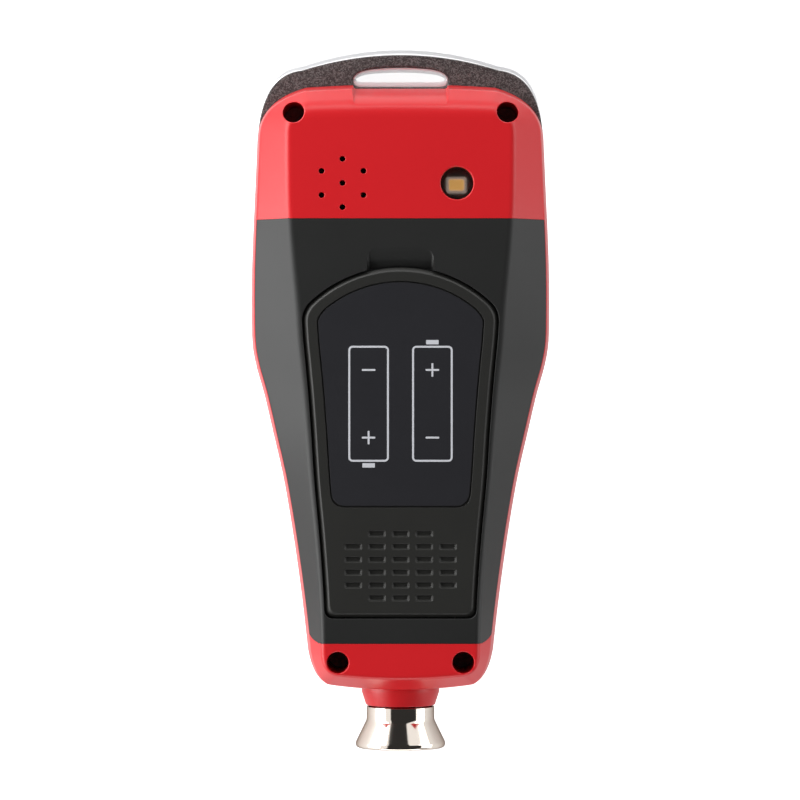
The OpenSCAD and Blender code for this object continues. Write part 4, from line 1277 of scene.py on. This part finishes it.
class GAUGE_OT_front_shell(PartOperator, bpy.types.Operator):
    """Charcoal front shell with its lug, lanyard slot, panel, window seat and key holes"""

    bl_idname = "gauge.front_shell"
    bl_label = "Front shell"

    def make(self, g):
        rings = [whole(inset(g.lug, RIM_STEP), BEZEL_T)]
        rings += [whole(inset(g.lug, across), g.part_z - LUG_EDGE + along)
                  for across, along in quarter(LUG_EDGE)]
        piece = solid("front_shell_form", loft(rings))
        combine(piece, "UNION", prism(inset(g.case, BEZEL_W), PANEL_Z, RIM_FLOOR))
        pan, top = inset(g.case, BEZEL_W + WALL), g.part_z + OVERLAP
        room = loft([
            whole(pan, PANEL_BACK), whole(pan, RIM_FLOOR),
            whole(inset(g.case, WALL + RIM_STEP), RIM_FLOOR), whole(inset(g.case, WALL), top)])
        pins = [post(x, y, BOSS_R, 0, g.part_z) for x, y in g.screws]
        pins += [post(x, y, POST_R, 0, BOARD_Z) for x, y in g.posts]
        bores = [post(x, y, SCREW_SHANK_R, SCREW_FOOT, top) for x, y in g.screws]
        bores += [post(x, y, POST_BORE_R, PANEL_BACK, top) for x, y in g.posts]
        combine(piece, "DIFFERENCE", hollow(room, together(*pins)), together(*bores))
        combine(piece, "DIFFERENCE", *self.window_cuts(g), self.key_holes())
        neck_seat = bore(NECK_R + NECK_FIT, -OVERLAP, NECK_BACK + NECK_FIT)
        combine(piece, "DIFFERENCE", self.lanyard_slot(g), neck_seat)
        charcoal = flecked("charcoal_finish", colours().charcoal, colours().fleck, roughness=0.5)
        dress(piece, charcoal, "case", "charcoal_plastic", "front_shell")

    def window_cuts(self, g):
        """Seat of the window, and the opening behind it through which the display shows."""
        def opening(grow, corner, top):
            w, h = WINDOW_W + 2 * grow, WINDOW_H + 2 * grow
            return loft([rounded_rectangle(0, g.window_y, w, h, corner, z) for z in (0, top)])
        return (opening(PANEL_FIT, WINDOW_CORNER, PANEL_Z + WINDOW_SINK),
                opening(-VIEW_EDGE, VIEW_CORNER, PANEL_BACK + OVERLAP))

    def key_holes(self):
        """Holes for the five keys."""
        ends = (0, PANEL_BACK + CUT_OVER)
        arched = [loft([key_outline(turn, -KEY_FIT, z) for z in ends]) for turn in ARCH_KEYS.values()]
        return together(post(0, PAD_Y, ROUND_KEY_R + KEY_FIT, *ends), *arched)

    def lanyard_slot(self, g):
        """Lanyard slot with a rounded rim at the parting line."""
        def ring(grow, z):
            return whole(lanyard_half(g.lanyard_low - grow, LANYARD_H + 2 * grow, LANYARD_HALF_W + grow), z)
        return flared(ring, 0, g.part_z, g.rim_round)


class GAUGE_OT_front_bezel(PartOperator, bpy.types.Operator):
    """Silver bezel frame with rounded edges and its part of the lanyard slot"""

    bl_idname = "gauge.front_bezel"
    bl_label = "Front bezel"

    def make(self, g):
        outer = [whole(inset(g.bezel, BEZEL_FRONT_R - along), across)
                 for across, along in quarter(BEZEL_FRONT_R)]
        outer += [whole(inset(g.bezel, across), BEZEL_LEDGE - BEZEL_BACK_R + along)
                  for across, along in quarter(BEZEL_BACK_R)]
        outer += [whole(inset(g.bezel, BEZEL_BACK_R, share * BEZEL_STEP), z) for share, z in BEZEL_RISER]
        opening = inset(g.case, BEZEL_W - PANEL_FIT)
        inner = [whole(opening, BEZEL_T)]
        inner += [whole(inset(opening, -across), BEZEL_LIP - along) for across, along in quarter(BEZEL_LIP)]
        piece = solid("front_bezel_frame", loft(outer + inner, True))
        combine(piece, "DIFFERENCE", self.slot(g))
        combine(piece, "UNION", self.collar(g))
        dress(piece, silver_paint(), "case", "silver_plastic", "front_bezel")

    def slot(self, g):
        """Slot through the bezel, widened at both faces."""
        low, h = g.lanyard_low + BEZEL_SLOT_UP, LANYARD_H - BEZEL_SLOT_RIM
        half_w = LANYARD_HALF_W - BEZEL_SLOT_RIM
        front = [(BEZEL_SLOT_EDGE[0][0], -OVERLAP), *BEZEL_SLOT_EDGE]
        back = [(grow, BEZEL_T - z) for grow, z in front[::-1]]
        return loft([whole(lanyard_half(low - grow, h + 2 * grow, half_w + grow), z)
                     for grow, z in front + back])

    def collar(self, g):
        """Lining of the lug's slot: a closed band, widest along the lower edge."""
        outer_low, outer_h = g.lanyard_low + COLLAR_FIT, LANYARD_H - 2 * COLLAR_FIT
        half_w = LANYARD_HALF_W - COLLAR_FIT
        inner_low, inner_h = outer_low + COLLAR_W, outer_h - COLLAR_W - COLLAR_SIDE
        bend = COLLAR_BEND * COLLAR_EDGE
        rim = [(0, BEZEL_T - CUT_OVER), (0, COLLAR_Z - COLLAR_EDGE),
               (bend, COLLAR_Z - bend), (COLLAR_EDGE, COLLAR_Z)]
        outer = [whole(lanyard_half(outer_low + d, outer_h - 2 * d, half_w - d), z) for d, z in rim]
        inner = [whole(lanyard_half(inner_low - d, inner_h + 2 * d, half_w - COLLAR_SIDE + d), z)
                 for d, z in rim[::-1]]
        return loft(outer + inner, True)


def key_outline(turn, d, z):
    """Closed outline of an arched key drawn in by d: a rounded rectangle, with KEY_STEPS points a side,
    bent round the pad, so that its length becomes angle and its height radius."""
    r0, r1 = ARCH_KEY_R
    mid = (r0 + r1) / 2
    length = math.radians(ARCH_ANGLE) * mid
    corner = max(KEY_CORNER - d, KEY_CORNER_LEAST)
    corners = rounded_rectangle(0, 0, length - 2 * d, r1 - r0 - 2 * d, corner, z).reshape(4, -1, 3)
    start, end = corners[:, -1:], np.roll(corners[:, :1], -1, axis=0)
    sides = start + (end - start) * (np.arange(1, KEY_STEPS) / KEY_STEPS)[:, None]
    flat = np.concatenate([corners, sides], axis=1).reshape(-1, 3)
    a = np.radians(turn) + flat[:, 0] / mid
    r = mid - flat[:, 1]
    return np.column_stack([r * np.cos(a), PAD_Y + r * np.sin(a), flat[:, 2]])


class GAUGE_OT_keys(PartOperator, bpy.types.Operator):
    """Five keys with crowned faces and printed marks"""

    bl_idname = "gauge.keys"
    bl_label = "Keys"

    def make(self, g):
        dark = finish("key_dark_finish", (0.03, 0.03, 0.032), roughness=0.5, drift=0.1, drift_scale=200.0,
                      grain=(5000.0, 0.000008))
        red = finish("key_red_finish", colours().red, roughness=0.45, drift=0.06, drift_scale=200.0,
                     grain=(5000.0, 0.000006))
        for name, turn in ARCH_KEYS.items():
            self.key(name, lambda d, z: key_outline(turn, d, z), turn, dark, "key_dark")
        self.key("power", lambda d, z: circle(0, PAD_Y, ROUND_KEY_R - d, z), 0, red, "key_red")

    def key(self, name, ring, turn, material, slot):
        """One key's cap and print, carried by the body of the same name."""
        cap = solid(f"key_{name}_cap", self.cap(ring))
        dress(cap, material, name, slot, f"key_{name}")
        mark = solid(f"key_{name}_mark", self.mark(name, turn))
        dress(mark, ink("key_print"), name, slot)

    def cap(self, ring):
        """Cap: a rounded edge from the face into the straight side, then the flange behind the panel."""
        rings = [ring(KEY_ROUND - along, KEY_FACE + across) for across, along in quarter(KEY_ROUND)]
        flange = [ring(-KEY_FLANGE, PANEL_BACK), ring(-KEY_FLANGE, KEY_BACK)]
        return loft(rings + [ring(0, PANEL_BACK)] + flange)

    def mark(self, name, turn):
        """Flat print just proud of the key's face."""
        z0, z1 = KEY_FACE - PRINT_RISE, KEY_FACE + PRINT_ROOT
        r = sum(ARCH_KEY_R) / 2
        x, y = r * math.cos(math.radians(turn)), PAD_Y + r * math.sin(math.radians(turn))

        def plate(points):
            flat = np.array(points, float)
            return loft([np.column_stack([flat, np.full(len(flat), z)]) for z in (z0, z1)])

        if name == "menu":
            w, h, pitch = MENU_MARK
            rows = [y + k * pitch for k in (-1, 0, 1)]
            return together(*(block(x - w / 2, x + w / 2, row - h / 2, row + h / 2, z0, z1) for row in rows))
        if name == "zero":
            w, h, corner, line = ZERO_MARK
            return loft([rounded_rectangle(x, y, w - 2 * d, h - 2 * d, corner - d, z)
                         for d, z in ((0, z0), (0, z1), (line, z1), (line, z0))], True)
        if name == "power":
            r, line, low, high = POWER_MARK
            a = np.radians(np.linspace(*POWER_ARC))
            way = np.column_stack([np.cos(a), np.sin(a)])
            arc = plate(np.vstack([r * way, (r - line) * way[::-1]]) + (0, PAD_Y))
            return together(arc, block(-line / 2, line / 2, PAD_Y + low, PAD_Y + high, z0, z1))
        half_w, foot, point = ARROW_MARK
        s = 1 if name == "up" else -1
        return plate([(x - s * half_w, y + s * foot), (x + s * half_w, y + s * foot), (x, y + s * point)])


class GAUGE_OT_display(PartOperator, bpy.types.Operator):
    """Smoked display window with an opaque border"""

    bl_idname = "gauge.display"
    bl_label = "Display"

    def make(self, g):
        front = PANEL_Z + WINDOW_SINK - WINDOW_T
        edge = [(WINDOW_EDGE - along, front + across) for across, along in quarter(WINDOW_EDGE, 4)]
        edge.append((0, front + WINDOW_T))
        pane = loft([
            rounded_rectangle(0, g.window_y, WINDOW_W - 2 * d, WINDOW_H - 2 * d, WINDOW_CORNER, z)
            for d, z in edge])
        dress(solid("display_window_pane", pane), self.smoked(), "case", "window_black", "display_window")

    def smoked(self):
        """Smoked acrylic whose border is opaque: Alpha falls inside the view rectangle."""
        material, tree, shader = new_material("window_finish")
        add_tone(tree, shader, (0.012, 0.012, 0.014, 1), 0.07, 0.3, 150.0)
        lo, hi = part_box("display_window")
        place = node(tree, "ShaderNodeTexCoord").outputs["Object"]
        apart = node(tree, "ShaderNodeVectorMath", {0: place, 1: (lo + hi) / 2}, operation="SUBTRACT")
        size = node(tree, "ShaderNodeVectorMath", {0: apart.outputs[0]}, operation="ABSOLUTE")
        axes = node(tree, "ShaderNodeSeparateXYZ", {0: size.outputs[0]}).outputs
        masks = [calc(tree, "GREATER_THAN", axis, (length / 2 - WINDOW_BORDER) * MM)
                 for axis, length in zip(axes, (WINDOW_W, WINDOW_H))]
        border = calc(tree, "MAXIMUM", *masks)
        tree.links.new(spread(tree, border, 0.0, 1.0, 0.3, 1.0), shader.inputs["Alpha"])
        return material


class GAUGE_OT_torch(PartOperator, bpy.types.Operator):
    """Torch: clear lens, white LED package and its yellow phosphor, both with a painted glow though the LED
    is off
    """

    bl_idname = "gauge.torch"
    bl_label = "Torch"

    def make(self, g):
        x, y = TORCH_X, g.torch_y
        r, (dome_r, dome_h) = TORCH_LENS_R - TORCH_LENS_FIT, TORCH_DOME
        brim = TORCH_LENS_Z - dome_h
        lens = [(r, TORCH_LENS_Z - TORCH_LENS_T), (r, brim - TORCH_EDGE), (r - TORCH_EDGE, brim)]
        lens += [(at, brim + dome_h * (1 - (at / dome_r) ** 2))
                 for at in np.linspace(dome_r, 2 * AXIS_R, 4 * ROUND_STEPS)]
        glass = finish("lens_finish", (0.97, 0.98, 0.98), roughness=0.2, drift=0.3, drift_scale=300.0,
                       Transmission_Weight=1.0, IOR=1.45)
        dress(solid("torch_lens_form", spindle(x, y, lens)), glass, "case", "clear_lens", "torch_lens")
        top = TORCH_BOARD_Z + LED_T
        package = loft([
            rounded_rectangle(x, y, LED_W - 2 * d, LED_H - 2 * d, LED_CORNER, top - depth)
            for d, depth in LED_EDGE])
        # Painted glow: the package and the phosphor emit light though the LED is off, so that they show
        # bright behind the lens.
        white = finish("led_package_painted_glow_finish", (0.8, 0.78, 0.72), roughness=0.4, drift=0.1, drift_scale=600.0,
                       Emission_Color=(0.5, 0.42, 0.36, 1), Emission_Strength=0.4)
        dress(solid("torch_led_package", package), white, "case", "led_body", "torch_led")
        dome = [(math.cos(a), top - PHOSPHOR_SINK + PHOSPHOR_RISE * math.sin(a))
                for a in np.linspace(0, PHOSPHOR_TURN, ROUND_STEPS + 1)]
        field = loft([
            rounded_rectangle(x, y, PHOSPHOR_W * share + HAIR, PHOSPHOR_H * share + HAIR,
                              LED_CORNER * share + 0.4 * HAIR, z) for share, z in dome])
        phosphor = finish("phosphor_painted_glow_finish", (0.72, 0.42, 0.1), roughness=0.5, drift=0.25,
                          drift_scale=1500.0, grain=(9000.0, 0.00002),
                          Emission_Color=(0.6, 0.34, 0.1, 1), Emission_Strength=0.8)
        dress(solid("torch_led_phosphor", field), phosphor, "case", "led_body")


class GAUGE_OT_probe(PartOperator, bpy.types.Operator):
    """Plated probe sleeve with its cone, rounded foot and bore, and the coil spring at its packed length"""

    bl_idname = "gauge.probe"
    bl_label = "Probe"

    def make(self, g):
        groove = -NECK_LEN - GROOVE_W
        sleeve = solid("probe_sleeve_form", turned(self.profile(groove), True))
        dress(sleeve, self.finish(groove), "case", "probe_nickel", "probe_sleeve", sharp=20.0)
        low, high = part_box("probe_spring")
        length = (high - low).y
        spring = solid("probe_spring_coil", self.coil(mm(low.y - datum()[1]), mm(length)))
        dress(spring, steel(), "case", "steel", "probe_spring")
        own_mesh(spring)

    def profile(self, groove):
        """Radius and Y round the sleeve's wall: the bore, the foot, the cone, the groove and the tail."""
        cone_y, foot_back = -NECK_LEN - SLEEVE_STRAIGHT, FOOT_Y + FOOT_RIM
        rim = [(FOOT_R - across, FOOT_Y + FOOT_ROUND - along)
               for across, along in quarter(FOOT_ROUND, FOOT_STEPS)]
        cone_end = (SLEEVE_R + SLEEVE_FILLET[0], cone_y - SLEEVE_FILLET[1])
        straight = (SLEEVE_R, cone_y + SLEEVE_FILLET[1])
        groove_r = SLEEVE_R - GROOVE_DEPTH
        return [
            (SPRING_BORE_R, STOP_Y), (NOSE_BORE_R, STOP_Y),
            (NOSE_BORE_R, FOOT_Y + NOSE_EDGE), (NOSE_BORE_R + NOSE_EDGE, FOOT_Y),
            *rim[::-1],
            (FOOT_R, foot_back - FOOT_BACK[1]), (FOOT_R - FOOT_BACK[0], foot_back),
            *curve(cone_end, (SLEEVE_R, cone_y), straight, ROUND_STEPS),
            straight, (SLEEVE_R, groove - GROOVE_EDGE), (SLEEVE_R - GROOVE_EDGE, groove),
            (groove_r, groove), (groove_r, -NECK_LEN),
            (TAIL_R, -NECK_LEN), (TAIL_R, TAIL_END), (SPRING_BORE_R, TAIL_END),
        ]

    def coil(self, start, length):
        """Coil spring: a wire whose middle follows a helix about the probe's axis, with angle and Y growing
        evenly along it; the wire's own circle lies in the plane through the axis."""
        t = np.linspace(0, 1, SPRING_STEPS * SPRING_TURNS + 1)[:, None]
        turn = 2 * math.pi * SPRING_TURNS * t
        a = np.arange(WIRE_STEPS) * 2 * math.pi / WIRE_STEPS
        r = SPRING_R + SPRING_WIRE_R * np.cos(a)
        y = start + SPRING_WIRE_R + (length - 2 * SPRING_WIRE_R) * t + SPRING_WIRE_R * np.sin(a)
        return loft(np.stack([r * np.cos(turn), y, PROBE_Z + r * np.sin(turn)], -1))

    def finish(self, groove):
        """Nickel plate with a painted shadow, dark red, from the groove against the neck inwards."""
        material = nickel()
        tree = material.node_tree
        level = (groove - 2 * HAIR) * MM + datum()[1]
        return repaint(material, calc(tree, "GREATER_THAN", object_axes(tree)[1], level), GROOVE_PAINTED_SHADE)


class GAUGE_OT_inner_parts(PartOperator, bpy.types.Operator):
    """Finishes of the pieces inside the case and of the fasteners"""

    bl_idname = "gauge.inner_parts"
    bl_label = "Inner parts"

    def make(self, g):
        for name, (nodes, look) in INNER_FINISHES.items():
            self.paint(finish(name, **look), *nodes)
        self.paint(steel(), "board_screws", "probe_nut", "probe_plunger")
        self.paint(self.cell("a", 1), "battery_cell_a")
        self.paint(self.cell("b", -1), "battery_cell_b")

    def paint(self, material, *names):
        for name in names:
            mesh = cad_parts[name].data
            mesh.materials.clear()
            mesh.materials.append(material)

    def cell(self, letter, up):
        """Cell: a dark wrap with a lighter band towards the plus end, and grey ends; the plus is metal."""
        material, tree, shader = new_material(f"cell_{letter}_finish")
        lo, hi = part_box(f"battery_cell_{letter}")
        plus, minus = (hi.y, lo.y) if up > 0 else (lo.y, hi.y)
        along = spread(tree, object_axes(tree)[1], minus, plus)
        ramp = node(tree, "ShaderNodeValToRGB", {0: along})
        ramp.color_ramp.interpolation = "CONSTANT"
        for k, (at, tone) in enumerate(CELL_WRAP):
            stop = ramp.color_ramp.elements[k] if k < 2 else ramp.color_ramp.elements.new(at)
            stop.position, stop.color = at, (*tone, 1)
        add_tone(tree, shader, ramp.outputs[0], 0.3, 0.15, 300.0)
        tree.links.new(calc(tree, "GREATER_THAN", along, CELL_WRAP[-1][0]), shader.inputs["Metallic"])
        return material


class GAUGE_OT_studio(bpy.types.Operator):
    """Pale floor, soft boxes, even fill and the camera over the gauge"""

    bl_idname = "gauge.studio"
    bl_label = "Studio"
    bl_options = {"REGISTER", "UNDO"}

    def execute(self, context):
        studio = context.scene.gauge_studio
        self.floor()
        self.fill(studio.fill)
        for name, setting, place, size in SOFT_BOXES:
            self.soft_box(name, place, size, getattr(studio, setting))
        camera = bpy.data.objects.new("camera", bpy.data.cameras.new("camera"))
        camera.location = (studio.camera_x, studio.camera_y, studio.camera_height)
        camera.data.sensor_width = 36
        camera.data.lens = studio.lens
        camera.data.clip_end = 100
        context.scene.collection.objects.link(camera)
        context.scene.camera = camera
        context.scene.view_settings.view_transform = "Standard"
        return {"FINISHED"}

    def floor(self):
        """Pale floor that glows for the camera and, near by, for gloss, and is clear from below."""
        corners = [(x * FLOOR_HALF, y * FLOOR_HALF, 0) for x, y in ((-1, -1), (1, -1), (1, 1), (-1, 1))]
        mesh = bpy.data.meshes.new("floor")
        mesh.from_pydata(corners, [], [(0, 1, 2, 3)])
        floor = bpy.data.objects.new("floor", mesh)
        bpy.context.scene.collection.objects.link(floor)
        material, tree, shader = new_material("floor_white")
        tone = use(tree, drift_group, {
            "Color": (FLOOR_TONE, FLOOR_TONE, FLOOR_TONE, 1), "Amount": 0.02, "Scale": 3.0})
        tree.links.new(tone.outputs["Color"], shader.inputs["Base Color"])
        shader.inputs["Roughness"].default_value = FLOOR_ROUGHNESS
        shader.inputs["Specular IOR Level"].default_value = 0.0
        path = node(tree, "ShaderNodeLightPath").outputs
        shown = calc(tree, "MAXIMUM", path["Is Camera Ray"], path["Is Transmission Ray"])
        near = spread(tree, path["Ray Length"], *SHEEN_REACH, FLOOR_GLOW, SHEEN_LEAST)
        strength = calc(
            tree, "MULTIPLY_ADD", path["Is Glossy Ray"], near, calc(tree, "MULTIPLY", shown, FLOOR_GLOW))
        glow = node(tree, "ShaderNodeEmission", {"Color": (1, 1, 1, 1), "Strength": strength})
        both = node(tree, "ShaderNodeAddShader", {0: shader.outputs[0], 1: glow.outputs[0]})
        under = node(tree, "ShaderNodeNewGeometry").outputs["Backfacing"]
        clear = node(tree, "ShaderNodeBsdfTransparent")
        sides = node(tree, "ShaderNodeMixShader", {0: under, 1: both.outputs[0], 2: clear.outputs[0]})
        tree.links.new(sides.outputs[0], tree.nodes["Material Output"].inputs["Surface"])
        mesh.materials.append(material)

    def fill(self, strength):
        """White background, even fill for the rest, and a dark ceiling that only gloss shows."""
        world = bpy.data.worlds.new("studio")
        bpy.context.scene.world = world
        world.use_nodes = True
        tree = world.node_tree
        place = node(tree, "ShaderNodeTexCoord").outputs["Generated"]
        x, y, z = node(tree, "ShaderNodeSeparateXYZ", {0: place}).outputs
        along = calc(tree, "MAXIMUM", y, 0.0)
        sides = [calc(tree, "MULTIPLY_ADD", along, slant, calc(tree, "MULTIPLY_ADD", x, way, -edge))
                 for way, edge, slant in CEILING_SIDES]
        wide = calc(tree, "MAXIMUM", *sides)
        aside = spread(tree, wide, -CEILING_BLUR, CEILING_BLUR, kind="SMOOTHSTEP")
        low = spread(tree, z, *CEILING_FOOT, kind="SMOOTHSTEP")
        foot = calc(tree, "MULTIPLY", low, spread(tree, y, *CEILING_LUG))
        open_sky = calc(tree, "MAXIMUM", calc(tree, "MAXIMUM", aside, foot), CEILING_LEAST)
        path = node(tree, "ShaderNodeLightPath").outputs
        gloss = path["Is Glossy Ray"]
        ceiling = node(tree, "ShaderNodeMix", {0: gloss, 2: 1.0, 3: open_sky}, data_type="FLOAT").outputs[0]
        shown = calc(tree, "MAXIMUM", path["Is Camera Ray"], gloss)
        seen = calc(tree, "MAXIMUM", shown, path["Is Transmission Ray"])
        level = node(tree, "ShaderNodeMix", {0: seen, 2: strength, 3: ceiling}, data_type="FLOAT").outputs[0]
        background = tree.nodes["Background"]
        background.inputs["Color"].default_value = (1, 1, 1, 1)
        tree.links.new(level, background.inputs["Strength"])

    def soft_box(self, name, place, size, brightness):
        """Area lamp that faces the gauge; its power is brightness times pi times its area."""
        data = bpy.data.lights.new(name, "AREA")
        data.shape = "RECTANGLE"
        data.size, data.size_y = size
        data.energy = brightness * math.pi * size[0] * size[1]
        lamp = bpy.data.objects.new(name, data)
        lamp.location = place
        lamp.rotation_euler = (-lamp.location).to_track_quat("-Z", "Y").to_euler()
        bpy.context.scene.collection.objects.link(lamp)


PARTS = (
    GAUGE_OT_rear_shell, GAUGE_OT_rear_grip, GAUGE_OT_battery_door, GAUGE_OT_front_shell,
    GAUGE_OT_front_bezel, GAUGE_OT_keys, GAUGE_OT_display, GAUGE_OT_torch, GAUGE_OT_probe,
    GAUGE_OT_inner_parts, GAUGE_OT_studio,
)


class GAUGE_PT_panel(bpy.types.Panel):
    """Sizes, colours and pieces of the gauge"""

    bl_idname = "GAUGE_PT_panel"
    bl_label = "Thickness gauge"
    bl_space_type = "VIEW_3D"
    bl_region_type = "UI"
    bl_category = "Gauge"

    def draw(self, context):
        for group in (context.scene.gauge_sizes, context.scene.gauge_colours, context.scene.gauge_studio):
            column = self.layout.column()
            for name in group.bl_rna.properties.keys():
                if name not in ("rna_type", "name"):
                    column.prop(group, name)
        for part in PARTS:
            self.layout.operator(part.bl_idname)


CLASSES = (GaugeSizes, GaugeColours, StudioSettings, *PARTS, GAUGE_PT_panel)


def register():
    for cls in CLASSES:
        bpy.utils.register_class(cls)
    bpy.types.Scene.gauge_sizes = bpy.props.PointerProperty(type=GaugeSizes)
    bpy.types.Scene.gauge_colours = bpy.props.PointerProperty(type=GaugeColours)
    bpy.types.Scene.gauge_studio = bpy.props.PointerProperty(type=StudioSettings)


def unregister():
    del bpy.types.Scene.gauge_studio
    del bpy.types.Scene.gauge_colours
    del bpy.types.Scene.gauge_sizes
    for cls in reversed(CLASSES):
        bpy.utils.unregister_class(cls)


def main():
    register()
    for part in PARTS:
        group, name = part.bl_idname.split(".")
        getattr(getattr(bpy.ops, group), name)()


if __name__ == "__main__":
    main()
